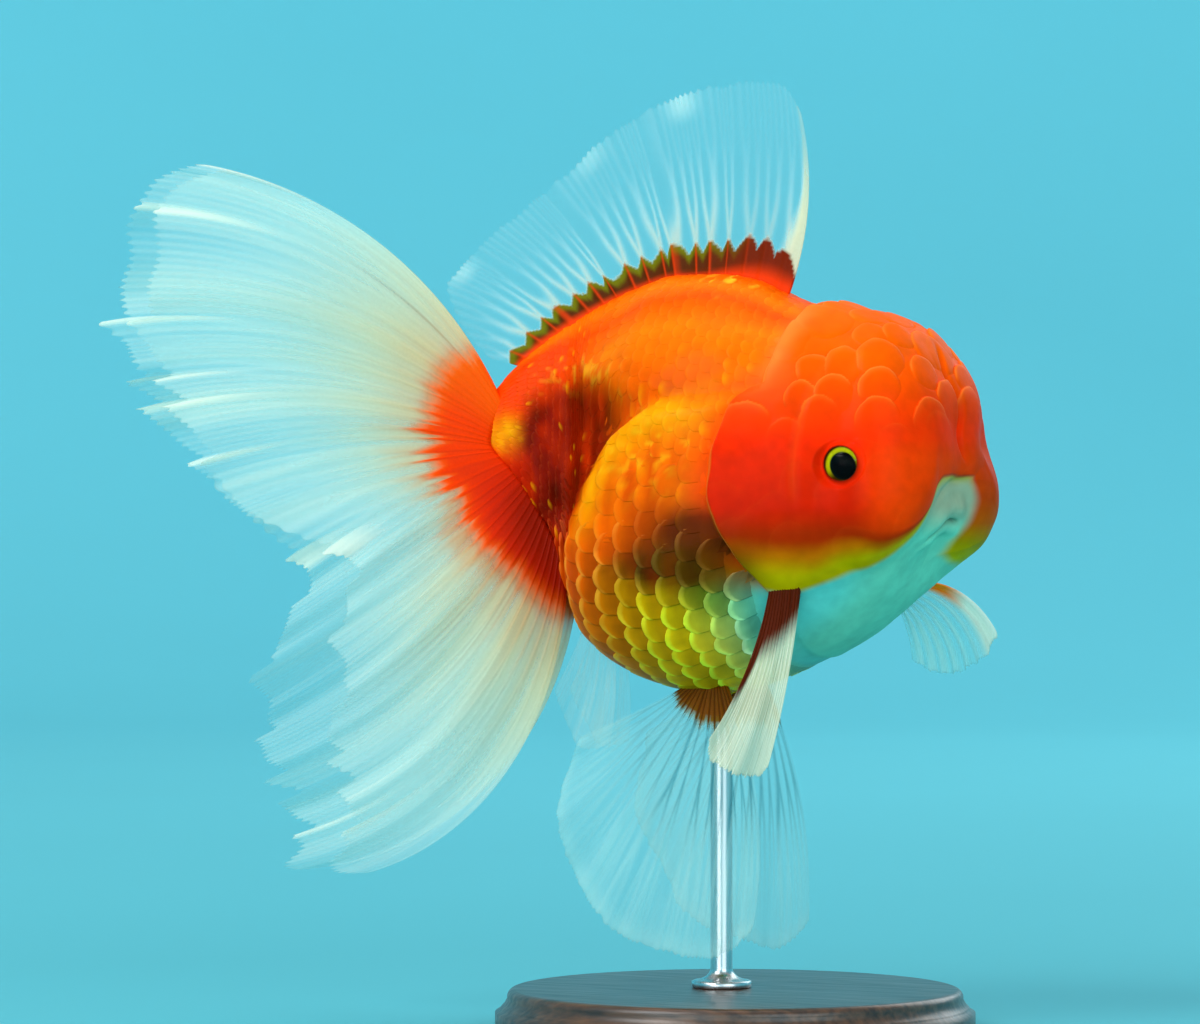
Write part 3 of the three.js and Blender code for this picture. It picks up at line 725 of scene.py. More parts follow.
# ---------------------------------------------------------------- skin
def ring_x(t):
    """Where the ring at t stands, from the snout at 0 to the tail root at 1: rings are close at the snout."""
    return SNOUT_X + (TAIL_ROOT_X - SNOUT_X) * (1 - np.cos(np.pi * t / 2))


def ring_t(x):
    return np.arccos(np.clip(1 - (SNOUT_X - x) / (SNOUT_X - TAIL_ROOT_X), -1, 1)) * 2 / np.pi


def skin_faces(front_rings, rear_rings):
    """The skin's faces, and for each of their corners 1 where its place on the map wraps to the far side."""
    fine, coarse = 2 * SKIN_COLUMNS, SKIN_COLUMNS
    rear = front_rings * fine
    count = rear + rear_rings * coarse
    faces, lifts = [], []

    def add(corners, wraps, lift):
        faces.append(stacked(*corners))
        lifts.append(stacked(*(wraps * corner for corner in lift)).ravel())

    def band(first, rings, columns):
        i, j = np.indices((rings - 1, columns)).reshape(2, -1)
        a, b = first + i * columns + j, first + i * columns + (j + 1) % columns
        add((a, a + columns, b + columns, b), j == columns - 1, (0, 0, 1, 1))

    def cap(middle, first, columns, turn):
        j = np.arange(columns)
        pair = (first + j, first + (j + 1) % columns)
        add((middle, *pair[::turn]), j == columns - 1, (0, *(0, 1)[::turn]))

    band(0, front_rings, fine)
    band(rear, rear_rings, coarse)
    # Where the columns halve, three triangles join two front columns to one rear column.
    j = np.arange(coarse)
    last = rear - fine
    f0, f1, f2 = last + 2 * j, last + 2 * j + 1, last + (2 * j + 2) % fine
    r0, r1 = rear + j, rear + (j + 1) % coarse
    for corners, lift in (((f0, r0, f1), (0, 0, 0)), ((f1, r0, r1), (0, 0, 1)), ((f1, r1, f2), (0, 1, 1))):
        add(corners, j == coarse - 1, lift)
    cap(count, 0, fine, 1)
    cap(count + 1, count - coarse, coarse, -1)
    return faces, np.concatenate(lifts)


def skin():
    t = np.arange(1, SKIN_RINGS) / SKIN_RINGS
    x = ring_x(t)
    front_rings = int(np.sum(x > NECK_X))
    blocks, tints, places = [], [], []
    for part, columns in ((slice(front_rings), 2 * SKIN_COLUMNS), (slice(front_rings, None), SKIN_COLUMNS)):
        at_x, at_share = np.meshgrid(x[part], np.arange(columns) / columns, indexing="ij")
        angle = angle_at(at_x, at_share)
        points, masks = skin_surface(at_x, angle)
        blocks.append(points.reshape(-1, 3))
        tints.append(markings(points, at_x, angle, masks).reshape(-1, 3))
        places.append(stacked(t[part][:, None], at_share).reshape(-1, 2))
    # A point in the middle closes each end.
    rims = (slice(2 * SKIN_COLUMNS), slice(-SKIN_COLUMNS, None))
    points, tint = (
        np.concatenate([values, [values[rim].mean(axis=0) for rim in rims]])
        for values in (np.concatenate(blocks), np.concatenate(tints))
    )
    place = np.concatenate([*places, [[0, 0.5], [1, 0.5]]])
    faces, lifts = skin_faces(front_rings, len(x) - front_rings)
    corner_map = np.concatenate([place[face].reshape(-1, 2) for face in faces])
    corner_map[:, 1] += lifts
    nodes = ("face", "hood_crown", "gill_cover_right", "gill_cover_left", "trunk", "tail_stalk")
    piece = mesh_object("skin", points, faces, tint, corner_map=corner_map)
    return on_model(piece, SKIN, "skin", *nodes, "lip_upper", "lip_lower")


# ---------------------------------------------------------------- scales
def flank_run():
    """Tables of x and of the length of the flank's line up to it, from the head to the tail root."""
    x = np.linspace(24, TAIL_ROOT_X + 0.5, 600)
    points = plain_body(x, np.full_like(x, math.radians(95)))
    steps = np.linalg.norm(np.diff(points, axis=0), axis=-1)
    return x, np.concatenate([[0], np.cumsum(steps)])


RUN_X, RUN = flank_run()
PATCH = 0.003  # a scale's width on the OFBake map
# Zones of scales: where they start and end as shares of the way from back to belly, rows round the whole
# girth and step along the flank.
SCALE_ZONES = [
    (0.0, 0.43, 72, 2.7),
    (0.435, 1.0, 44, 4.6),
]
STALK_X = -34  # behind this the step is STALK_STEP in both zones
STALK_STEP = 3.0
THROAT = (17, 92)  # in front of this x and below this height there are no scales
BACK_RISE = 0.15  # how far a scale's free edge rises on the back
BELLY_RISE = 0.34


def scale_roots(zone):
    """The run, girth share, step, half width as a share and zone of each scale of a zone, on both sides."""
    top, bottom, rows, zone_step = SCALE_ZONES[zone]
    roots = []
    at, k = 0.0, 0
    while at < RUN[-1] - 2:
        step = zone_step if np.interp(at, RUN, RUN_X) > STALK_X else STALK_STEP
        for j in range(rows):
            share = (j + 0.5 * (k % 2) + 0.16 * (float(chance(k, j, rows)) - 0.5)) / rows
            down = 1 - abs(2 * (share % 1) - 1)
            if top <= down <= bottom:
                roots.append((at, share, step, 0.5 / rows, zone))
        at += step
        k += 1
    return np.array(roots)


def shown_roots():
    """The roots that neither the gill covers nor the throat hide, and how low each lies, from 0 to 1."""
    roots = np.concatenate([scale_roots(zone) for zone in range(len(SCALE_ZONES))])
    x = np.interp(roots[:, 0], RUN, RUN_X)
    z = skin_surface(x, angle_at(x, roots[:, 1]))[0][:, 2]
    on_throat = (x > THROAT[0]) & (z < THROAT[1])
    shown = (x < gill_edge_at(z) + 0.2) & (x > TAIL_ROOT_X + 2) & ~on_throat
    return roots[shown], fall(z[shown], 93, 104)[:, None, None]


SCALE_ACROSS = 9  # points across each scale
SCALE_ALONG = 9
SCALE_THICKNESS = 0.2


def scale_tint(points, x, angle, masks, scale):
    """The skin's colour at the scale's root, with a painted highlight along the free edge and painted shadow
    where the scale in front lies over it.
    """
    at, share, across, along, edge, vary, low_root = scale
    full = np.ones_like(x)
    low = low_root * full
    root = (slice(None), SCALE_ACROSS // 2, 2)
    bare = {name: np.broadcast_to(mask, x.shape) for name, mask in masks.items()}
    bare["front"] = 0 * full
    at_root = markings(points[root], x[root], angle[root], {name: mask[root] for name, mask in bare.items()})
    plain = blend(markings(points, x, angle, bare), at_root[:, None, None, :], 0.4 * low)
    free = smooth(along * edge, 0.45, 0.93) * full
    # A painted highlight along the free edge, weaker in the painted shade below the gill cover.
    shine = smooth(along, 0.84, 0.93) * (0.7 + 0.3 * np.sin(across * 2.4 + 60 * vary)) * full
    rim = np.clip(plain * 1.9 + 0.15 * GOLD + 0.02, 0, 1)
    shaded = 1 - 0.7 * lower_shade_at(x, points[..., 2])
    # Painted gold glints on a few scales of the ridge and towards the tail.
    on_ridge = bump(np.degrees(angle) % 360, 62, 14) * smooth(x, -20, -8)
    sparkle = (chance(at, share * 90) > 0.9) * 0.4 * np.maximum(on_ridge, fall(x, -34, -26))
    tint = layered(
        plain,
        # Painted shadow, red-brown on low scales, where the scale in front lies over this one.
        (plain * 0.6, (0.16 + 0.52 * low) * (1 - free)),
        (RED_BROWN, 0.3 * low * (1 - free) * fall(x, -4, 8)),
        (rim, (0.1 + 0.75 * low * shaded) * shine),
        (GOLD, sparkle * smooth(along, 0.6, 0.8) * fall(np.abs(across), 0.2, 0.6)),
    )
    uneven = (0.05 + 0.07 * low) * (2 * chance(share * 70, at) - 1)
    uneven = uneven + (0.04 + 0.14 * low) * noise(points, 1.5, 16)
    return np.clip(tint * (1 + uneven)[..., None], 0, 1)


def scale_lift(run, share, across, along, low_root, front):
    """How far each point of a scale stands off the skin."""
    rise = between(BACK_RISE, BELLY_RISE, low_root)
    flat = 1 - smooth(run, RUN[-1] - 6, RUN[-1] - 1) * 0.5
    lift = rise * flat * (along**1.25) * (1 - 0.18 * across**2)
    lift = lift + between(0.03, 0.05, low_root) * (1 - across**2) * smooth(along, 0, 0.3)
    # The gill cover lies over the first scales.
    lift = lift - 1.1 * smooth(front, 0.02, 0.25) - 1.2 * front
    # The edge nearer the belly lies over the next scale down.
    downwards = np.where(share % 1 < 0.5, across, -across)
    lift = lift + 0.22 * rise * downwards * smooth(along, 0.2, 0.7)
    ribs = 0.012 * np.sin(across * 16) * smooth(along, 0.2, 0.6) + 0.012 * np.sin(along * 34 + across**2 * 5)
    sink = between(0.06, 0.14, low_root) * (1 - along) + 0.05 * smooth(along, 0.92, 1)
    return lift + ribs - sink


def closed_scales(top, normal):
    """The points of all scales, each closed below by a shallow cone, the rim of one and the faces of one."""
    index = np.arange(SCALE_ACROSS * SCALE_ALONG).reshape(SCALE_ACROSS, SCALE_ALONG)
    rim = outline(index)
    low = top[:, rim] - normal[:, rim] * SCALE_THICKNESS
    points = np.concatenate([top, low, low.mean(axis=1, keepdims=True)], axis=1)
    ring = index.size + np.arange(len(rim))
    after = np.roll(ring, -1)
    sides = stacked(rim, ring, after, np.roll(rim, -1))
    base = stacked(ring, points.shape[1] - 1, after)
    return points, rim, (grid_quads(index), sides, base)


def scale_pieces():
    roots, low_root = shown_roots()
    at, share, step, half, zone = roots.T[:, :, None, None]
    count = len(roots)
    # Points stand closer together near the free edges.
    across = np.sin(np.linspace(-1, 1, SCALE_ACROSS) * math.pi / 2)[None, :, None]
    along = (1 - (1 - np.linspace(0, 1, SCALE_ALONG)) ** 1.7)[None, None, :]
    vary = chance(at, share * 50)
    edge = 1 - 0.4 * (1 - np.sqrt(np.clip(1 - (0.97 * across) ** 2, 0, 1)))
    edge = edge + 0.025 * np.sin(across * 3 + 40 * vary)
    run = at - 0.5 * step + along * 1.62 * step * (0.96 + 0.08 * vary) * edge
    x = np.interp(run, RUN, RUN_X)
    width = 1.24 * half * (0.72 + 0.28 * smooth(along, 0, 0.45))
    x, at_share = np.broadcast_arrays(x, share + across * width)
    angle = angle_at(x, at_share)
    points, masks = skin_surface(x, angle)
    ahead, _ = skin_surface(x - 0.25, angle_at(x - 0.25, at_share))
    aside, _ = skin_surface(x, angle_at(x, at_share + 0.001))
    normal = unit(np.cross(ahead - points, aside - points))
    lift = scale_lift(run, share, across, along, low_root, masks["front"])
    top = (points + normal * lift[..., None]).reshape(count, -1, 3)
    solid, rim, scale_faces = closed_scales(top, normal.reshape(count, -1, 3))
    tint = scale_tint(points, x, angle, masks, (at, share, across, along, edge, vary, low_root))
    tint = tint.reshape(count, -1, 3)
    tint = np.concatenate([tint, tint[:, rim], tint[:, :1]], axis=1)
    # Each scale has a small patch of the OFBake map, at its root's place.
    place_u = ring_t(x[:, SCALE_ACROSS // 2, :1, None]) + PATCH * (along - 0.5)
    place_v = share % 1 + PATCH * 0.5 * across
    patch = stacked(place_u, place_v).reshape(count, -1, 2)
    patch = np.concatenate([patch, patch[:, rim], patch.mean(axis=1, keepdims=True)], axis=1)
    on_right = (share % 1 < 0.5).ravel()
    on_back = (zone == 0).ravel()
    for name, chosen in (
        ("scales_back_right", on_right & on_back), ("scales_back_left", ~on_right & on_back),
        ("scales_flank_right", on_right & ~on_back), ("scales_flank_left", ~on_right & ~on_back),
    ):
        first = np.arange(int(chosen.sum()))[:, None, None] * solid.shape[1]
        faces = [(face + first).reshape(-1, face.shape[1]) for face in scale_faces]
        places = patch[chosen].reshape(-1, 2)
        corner_map = np.concatenate([places[face].reshape(-1, 2) for face in faces])
        piece = mesh_object(
            name, solid[chosen].reshape(-1, 3), faces, tint[chosen].reshape(-1, 3), corner_map=corner_map
        )
        on_model(piece, SCALE, "skin")


# ---------------------------------------------------------------- fins
def backwards(degrees):
    """A level direction: degrees from straight back towards the fish's right."""
    turn = np.radians(degrees)
    return stacked(-np.cos(turn), -np.sin(turn), 0)


def fan(root, back, start, finish, length, wave, up=UP):
    """A fan of rays, whose place in the fan is a and along the ray r, both from 0 to 1. Each ray is an arc
    length(a) long that starts at root(a). It leaves at angle start(a) and ends at angle finish(a), in degrees
    above the direction backwards(back(a)). wave(a, r) is how far the fan stands off sideways."""

    def at(a, r):
        a, r = np.broadcast_arrays(np.asarray(a, float), np.asarray(r, float))
        begin = np.radians(start(a))
        turn = np.radians(finish(a) - start(a))
        turn = np.where(np.abs(turn) < 1e-6, 1e-6, turn)
        run = length(a) * (np.sin(begin + turn * r) - np.sin(begin)) / turn
        climb = -length(a) * (np.cos(begin + turn * r) - np.cos(begin)) / turn
        behind, above = np.broadcast_arrays(backwards(back(a)), up)
        side = unit(np.cross(behind, above))
        return root(a) + behind * run[..., None] + above * climb[..., None] + side * wave(a, r)[..., None]

    return at


TAIL_SWING = 38  # degrees from straight back towards the fish's right
tail_root_x = curve((0, -48.5), (0.35, -51), (0.6, -45), (0.8, -40), (1, -35))
tail_root_out = curve((0, 2), (0.5, 4), (1, 5.5))
tail_root_z = curve((0, 125), (0.35, 117), (0.6, 109), (0.8, 101), (1, 92))
tail_splay = curve((0, 7), (0.3, 13), (0.5, 21), (0.75, 29), (1, 31))
tail_start = curve(
    (0, 67), (0.05, 60), (0.12, 46), (0.2, 34), (0.3, 20), (0.42, -2), (0.5, -20), (0.62, -42), (0.75, -58),
    (1, -88),
)
tail_finish = curve(
    (0, 9), (0.05, 3), (0.12, -5), (0.2, -11), (0.3, -14), (0.42, -22), (0.5, -34), (0.62, -28), (0.75, -20),
    (1, -8),
)
tail_length = curve(
    (0, 79), (0.05, 86), (0.12, 87), (0.2, 80), (0.3, 71), (0.4, 60), (0.46, 52), (0.5, 43), (0.55, 47),
    (0.62, 58), (0.75, 72), (0.88, 84), (0.95, 90), (1, 87),
)
left_tail_share = curve(
    (0, 1.05), (0.25, 1.05), (0.42, 0.98), (0.5, 1.14), (0.6, 1.3), (0.7, 1.22), (0.82, 1.12), (1, 1.05)
)


def tail_wave(a, r):
    broad = 3 * r * r * np.sin(2 * np.pi * 5.5 * a) + 2 * np.sin(np.pi * r) * (0.5 - a)
    fine = 0.8 * r**3 * np.sin(2 * np.pi * 17 * a + 1.5 * np.sin(9 * a)) + 0.35 * r**5 * np.sin(190 * a)
    return broad + fine


def tail_half(side):
    return fan(
        root=lambda a: on_body(tail_root_x(a), side * tail_root_out(a), tail_root_z(a)),
        back=lambda a: TAIL_SWING + side * tail_splay(a),
        start=tail_start,
        finish=tail_finish,
        length=lambda a: tail_length(a) * (1 if side > 0 else left_tail_share(a)),
        wave=lambda a, r: side * tail_wave(a, r),
    )


def dorsal_x(a):
    return between(11, -44, a**0.92)


dorsal_length = curve(
    (0, 40), (0.05, 43), (0.25, 41), (0.45, 35), (0.6, 30), (0.8, 28), (0.88, 27), (0.94, 20), (1, 8)
)
dorsal_fan = fan(
    root=lambda a: on_body(dorsal_x(a), 0, back_at(dorsal_x(a)) - 3),
    back=lambda a: 0.6 * np.degrees(heading_at(dorsal_x(a))),
    start=curve((0, 114), (0.12, 100), (0.35, 84), (0.6, 58), (0.8, 42), (0.92, 34), (1, 20)),
    finish=curve((0, 74), (0.12, 84), (0.35, 72), (0.6, 46), (0.8, 28), (0.92, 18), (1, 10)),
    length=dorsal_length,
    wave=lambda a, r: 1.4 * r * np.sin(5 * a + 1) + 0.6 * r * r * np.sin(40 * a),
)


def pelvic_fan(side):
    return fan(
        root=lambda a: on_body(between(2.5, -5.5, a), side * 9, 69),
        back=lambda a: side * 12,
        up=unit(np.array((0, side * 0.12, 1))),
        start=curve((0, -116), (0.25, -96), (0.5, -72), (0.75, -50), (1, -28)),
        finish=curve((0, -82), (0.25, -83), (0.5, -66), (0.75, -46), (1, -24)),
        length=curve((0, 50), (0.2, 55), (0.4, 54), (0.6, 48), (0.8, 38), (1, 25)),
        wave=lambda a, r: 1.6 * r * r * np.sin(22 * a) + 0.3 * r**4 * np.sin(70 * a),
    )


def anal_fan(side):
    return fan(
        root=lambda a: on_body(between(-26, -31, a), side * 3, between(79, 84, a)),
        back=lambda a: 6,
        up=unit(np.array((0, side * 0.1, 1))),
        start=curve((0, -102), (1, -76)),
        finish=curve((0, -80), (1, -62)),
        length=curve((0, 23), (0.4, 26), (1, 18)),
        wave=lambda a, r: r * r * np.sin(12 * a),
    )


def straight_root(first, last):
    return lambda a: between(np.array(first, float), np.array(last, float), np.asarray(a)[..., None])


pectoral_right_fan = fan(
    root=straight_root((24.8, -21.6, 92), (18.8, -22.8, 90.4)),
    back=lambda a: 80,
    start=curve((0, -82), (1, -74)),
    finish=curve((0, -64), (1, -38)),
    length=curve((0, 40), (0.1, 42.5), (0.5, 43.5), (0.9, 41.5), (1, 38)),
    wave=lambda a, r: 0.6 * r * np.sin(9 * a),
)
pectoral_left_fan = fan(
    root=straight_root((27, 19, 88.2), (26, 19, 86)),
    back=lambda a: -115,
    start=curve((0, 16), (0.3, 4), (0.6, -14), (1, -50)),
    finish=curve((0, -56), (0.12, -64), (0.3, -74), (0.6, -82), (1, -84)),
    length=curve((0, 31), (0.12, 31), (0.3, 29), (0.6, 24), (1, 14)),
    wave=lambda a, r: 0.5 * r * np.sin(44 * a),
)


def ray_ridge(a, r, rays, splits):
    """1 on a fin ray and 0 between rays. Each ray splits in two past the first of splits, and again past the
    second. Also gives the place across the ray's own strip, from -1 to 1."""
    part = (a * rays) % 1 - 0.5
    first = 0.25 * smooth(r, splits[0], splits[0] + 0.3)
    second = 0.125 * smooth(r, splits[1], splits[1] + 0.3)
    away = np.minimum.reduce([np.abs(part - p * first - q * second) for p in (-1, 1) for q in (-1, 1)])
    width = between(0.17, 0.07, smooth(r, 0, 0.8))
    return np.exp(-((away / width) ** 2)), 2 * part


def fold_at(a, folds):
    """Where a place lies between two folds of the fin's free edge, from 0 to 1."""
    return (a * folds + 0.3 * np.sin(a * 23) + 0.16 * np.sin(a * 71)) % 1


def fin_piece(
    name, surface, look, nodes, rays, grid, ragged, body, ridges, splits=(0.3, 0.6), folds=0, notch=0
):
    """A fin as a thin closed sheet with raised rays. look(a, r, ridge, strip) gives its colour and opacity.
    grid is how many points it has across and along the rays, body is its thickness at the root, ridges the
    height of the rays at root and tip, and notch how deep the steps between the folds of its edge are."""
    a, r = np.meshgrid(*(np.linspace(0, 1, count) for count in grid), indexing="ij")
    bent = np.clip(a + 0.22 / rays * np.sin(a * rays * 1.7 + 2 * np.sin(a * 31)) * 4 * a * (1 - a), 0, 1)
    ridge, strip = ray_ridge(bent, r, rays, splits)
    tip_ridge, _ = ray_ridge(bent, np.ones_like(a), rays, splits)
    uneven = cloud(stacked(a * 60, 0, len(name)), 1.7, 21)
    reach = 1 - ragged * (0.35 * (1 - tip_ridge) + 0.65 * uneven)
    if folds:
        reach = reach - notch * fold_at(a, folds) * smooth(a, 0.06, 0.12) * fall(a, 0.9, 0.96)
    at_r = r * (1 - (1 - reach) * smooth(r, 0.3, 1))
    points = surface(a, at_r)
    across = surface(np.minimum(a + 0.004, 1), at_r) - surface(np.maximum(a - 0.004, 0), at_r)
    along = surface(a, np.minimum(at_r + 0.01, 1)) - surface(a, np.maximum(at_r - 0.01, 0))
    edge = np.minimum(1, np.minimum(a, 1 - a) * 40)
    thick = 0.2 + ridge * between(*ridges, smooth(r, 0, 0.7)) + (body - 0.6) * fall(r, 0.02, 0.28)
    thick = thick * (0.55 + 0.45 * edge) * (1 - 0.7 * smooth(r, 0.97, 1))
    half = unit(np.cross(across, along)) * (thick / 2)[..., None]
    index = np.arange(a.size).reshape(a.shape)
    front = grid_quads(index)
    rim = outline(index)
    after = np.roll(rim, -1)
    sides = stacked(after, rim, rim + a.size, after + a.size)
    both = np.concatenate([(points + half).reshape(-1, 3), (points - half).reshape(-1, 3)])
    tint, opacity = look(a, r, ridge, strip)
    colours = np.clip(np.tile(tint.reshape(-1, 3), (2, 1)), 0, 1)
    solid = np.tile(np.clip(opacity, 0, 1).ravel(), 2)
    piece = mesh_object(name, both, [front, front[:, ::-1] + a.size, sides], colours, solid)
    return on_model(piece, FIN, "fin", *nodes)


def sheen(a, r, seed, count=46):
    """Soft streaks that run along the rays, from 0 to 1."""
    return cloud(stacked(a * count, r * 1.6, seed), 1, seed)


TAIL_RAYS = 34
TAIL_FOLDS = 13
DORSAL_RAYS = 17
PELVIC_RAYS = 15

tail_root_reach = curve(
    (0, 0.15), (0.12, 0.175), (0.24, 0.2), (0.36, 0.25), (0.46, 0.32), (0.58, 0.3), (0.75, 0.2), (1, 0.12)
)
tail_opacity = curve((0, 0.52), (0.25, 0.46), (0.5, 0.35), (0.75, 0.24), (1, 0.15))


def tail_look(a, r, ridge, strip):
    spike = chance(np.floor(a * TAIL_RAYS)) - 0.5
    spiky = between(0.1, 0.42, bump(a, 0.42, 0.12))
    reach = tail_root_reach(a) * (1 + spiky * (spike + 0.5 * (ridge - 0.5)))
    fleshy = fall(r, reach - 0.035, reach + 0.045)
    streak = sheen(a, r, 31)
    fine = sheen(a, 0.5 * r, 37, 150)
    near = np.maximum(fall(r, 0.1, 0.75), 0.8 * bump(a, 0.7, 0.12) * fall(r, 0.4, 0.9))
    lines = bump(a, 0.07, 0.045) + 0.7 * bump(a, 0.78, 0.12)
    fold = fold_at(a, TAIL_FOLDS)
    bright = bump(fold, 0.04, 0.07) * smooth(r, 0.62, 0.95)
    bright = bright * smooth(chance(np.floor(a * TAIL_FOLDS)), 0.2, 0.6)
    root = layered(
        ORANGE,
        (RED_ORANGE, smooth(a, 0.05, 0.3)),
        (CRIMSON, 0.85 * smooth(a, 0.3, 0.6) * fall(r, 0.14, 0.34)),
        (DARK_RED, 0.7 * smooth(a, 0.45, 0.75) * fall(r, 0.04, 0.22)),
        (BRIGHT_ORANGE, 0.6 * smooth(r - reach, -0.07, 0.01)),
    )
    colour = layered(
        FIN_WHITE,
        (srgb(240, 220, 160), 0.9 * near + 0.2 * (streak - 0.5)),
        (srgb(250, 244, 226), 0.3 * ridge * smooth(r, 0.4, 0.9)),
        (srgb(150, 96, 50), 0.5 * lines * smooth(fine, 0.62, 0.85) * near),
        (srgb(234, 160, 84), (0.28 + 0.3 * ridge * smooth(a, 0.25, 0.5)) * fall(r, reach, reach + 0.2)),
        (srgb(246, 246, 226), bright),
        (root, fleshy),
    )
    opacity = tail_opacity(r) + 0.08 * ridge + 0.2 * (streak - 0.5) + 0.12 * (fine - 0.5) + 0.4 * bright
    opacity = 0.9 * opacity * (1 - 0.3 * smooth(a, 0.55, 0.75) * smooth(r, 0.45, 0.8))
    opacity = opacity + 0.12 * bump(a, 0, 0.03) * fall(r, 0.5, 0.9)
    return colour, np.maximum(opacity, 1.1 * fleshy)


tooth_height = curve(
    (0, 8.4), (0.03, 9.4), (0.08, 11.4), (0.2, 9.6), (0.4, 9.0), (0.6, 8.3), (0.8, 7.4), (1, 5.5)
)


def dorsal_look(a, r, ridge, strip):
    """Brown teeth along the root, and above them a nearly clear membrane."""
    height = r * dorsal_length(a)
    tooth = tooth_height(a) * (1 + 0.08 * (chance(np.floor(a * DORSAL_RAYS)) - 0.5))
    tooth = tooth - between(2.6, 1.7, a) * np.abs(strip) ** between(1.8, 0.9, smooth(a, 0.1, 0.4))
    in_tooth = fall(height, tooth - 0.3, tooth + 0.25)
    patch = smooth(height, 1.6, between(7, 3.6, smooth(a, 0.05, 0.3)))
    patch = patch * (1 - 0.55 * bump(strip, 0, 0.14) * smooth(a, 0.06, 0.3))
    edge = smooth(height, tooth - 2.6, tooth - 0.7)
    brown = blend(srgb(116, 28, 0), srgb(84, 34, 0), smooth(a, 0.05, 0.35))
    teeth = layered(
        RED_ORANGE, (brown, patch), (srgb(118, 120, 0), 0.75 * edge * patch * smooth(a, 0.1, 0.35))
    )
    rays = blend(srgb(238, 224, 190), srgb(226, 242, 236), smooth(r, 0.2, 0.6))
    lead = fall(a, 0.01, between(0.07, 0.02, smooth(r, 0.1, 0.6)))
    colour = layered(FIN_WHITE, (rays, ridge), (srgb(232, 222, 180), lead), (teeth, in_tooth))
    tip = (bump(a, 0.3, 0.03) + 0.5 * bump(a, 0.5, 0.03) + 0.6 * bump(a, 0.85, 0.03)) * smooth(r, 0.84, 0.97)
    fade = (1 - 0.6 * bump(a, 0.12, 0.1)) * (1 - 0.88 * smooth(r, 0.24, 0.75))
    opacity = 0.02 + 0.28 * ridge * fade + 0.55 * lead * (1 - 0.85 * smooth(r, 0.4, 0.9)) + 0.26 * tip
    return colour, np.maximum(opacity, in_tooth)


def pelvic_look(a, r, ridge, strip):
    tooth = 0.125 + 0.03 * ridge + 0.03 * chance(np.floor(a * PELVIC_RAYS))
    root = fall(r, tooth - 0.015, tooth + 0.02)
    dark_ray = ridge * fall(r, 0.35, 0.75) * (1 - 0.5 * smooth(a, 0.35, 0.8))
    teeth = layered(
        srgb(128, 62, 0),
        (srgb(66, 24, 0), 0.7 * ridge),
        (srgb(120, 124, 0), 0.4 * smooth(r, tooth - 0.03, tooth)),
    )
    colour = layered(
        FIN_WHITE,
        # The water's aqua light, painted in streaks.
        (AQUA, 0.3 * sheen(a, r, 33)),
        (srgb(30, 112, 120), np.clip(1.4 * dark_ray, 0, 1)),
        (teeth, root),
    )
    opacity = 0.06 + 0.1 * ridge * (1 - 0.5 * smooth(r, 0.6, 1)) + 0.07 * (sheen(a, r, 34) - 0.5)
    return colour, np.maximum(opacity + 0.12 * dark_ray + 0.09 * smooth(r, 0.9, 1), root)


def left_pectoral_look(a, r, ridge, strip):
    """Broad pale ribs, and a thick leading edge that is orange near its root."""
    rib = 0.5 - 0.5 * np.cos(2 * np.pi * (8 * a + 0.25))
    lead = fall(a, 0.13, 0.28)
    root = lead * fall(r, 0.4, 0.66) + fall(r, 0.08, 0.14)
    colour = layered(
        srgb(150, 222, 220),
        (srgb(232, 240, 220), np.clip(0.3 * rib + lead, 0, 1)),
        (srgb(250, 132, 0), np.clip(root, 0, 1)),
    )
    opacity = 0.2 + 0.4 * rib * (1 - 0.4 * smooth(r, 0.5, 1)) + 0.06 * ridge
    return colour, np.maximum(opacity, 0.92 * lead)


def small_fin_look(root_colour, reach, blade, opaque):
    """The look of a fin with a coloured root, which ends at reach, and a blade of one colour."""

    def look(a, r, ridge, strip):
        end = reach + 0.03 * ridge + 0.16 * (a - 0.5) + 0.3 * smooth(a, 0.8, 1)
        root = fall(r, end - 0.08, end + 0.08)
        streak = sheen(a, r, 35, 20)
        colour = layered(blade, (srgb(246, 240, 214), 0.5 * ridge + 0.3 * streak), (root_colour, root))
        opacity = opaque + (0.04 + 0.18 * opaque) * ridge + (0.07 + 0.2 * opaque) * (streak - 0.5)
        return colour, np.maximum(opacity, root)

    return look


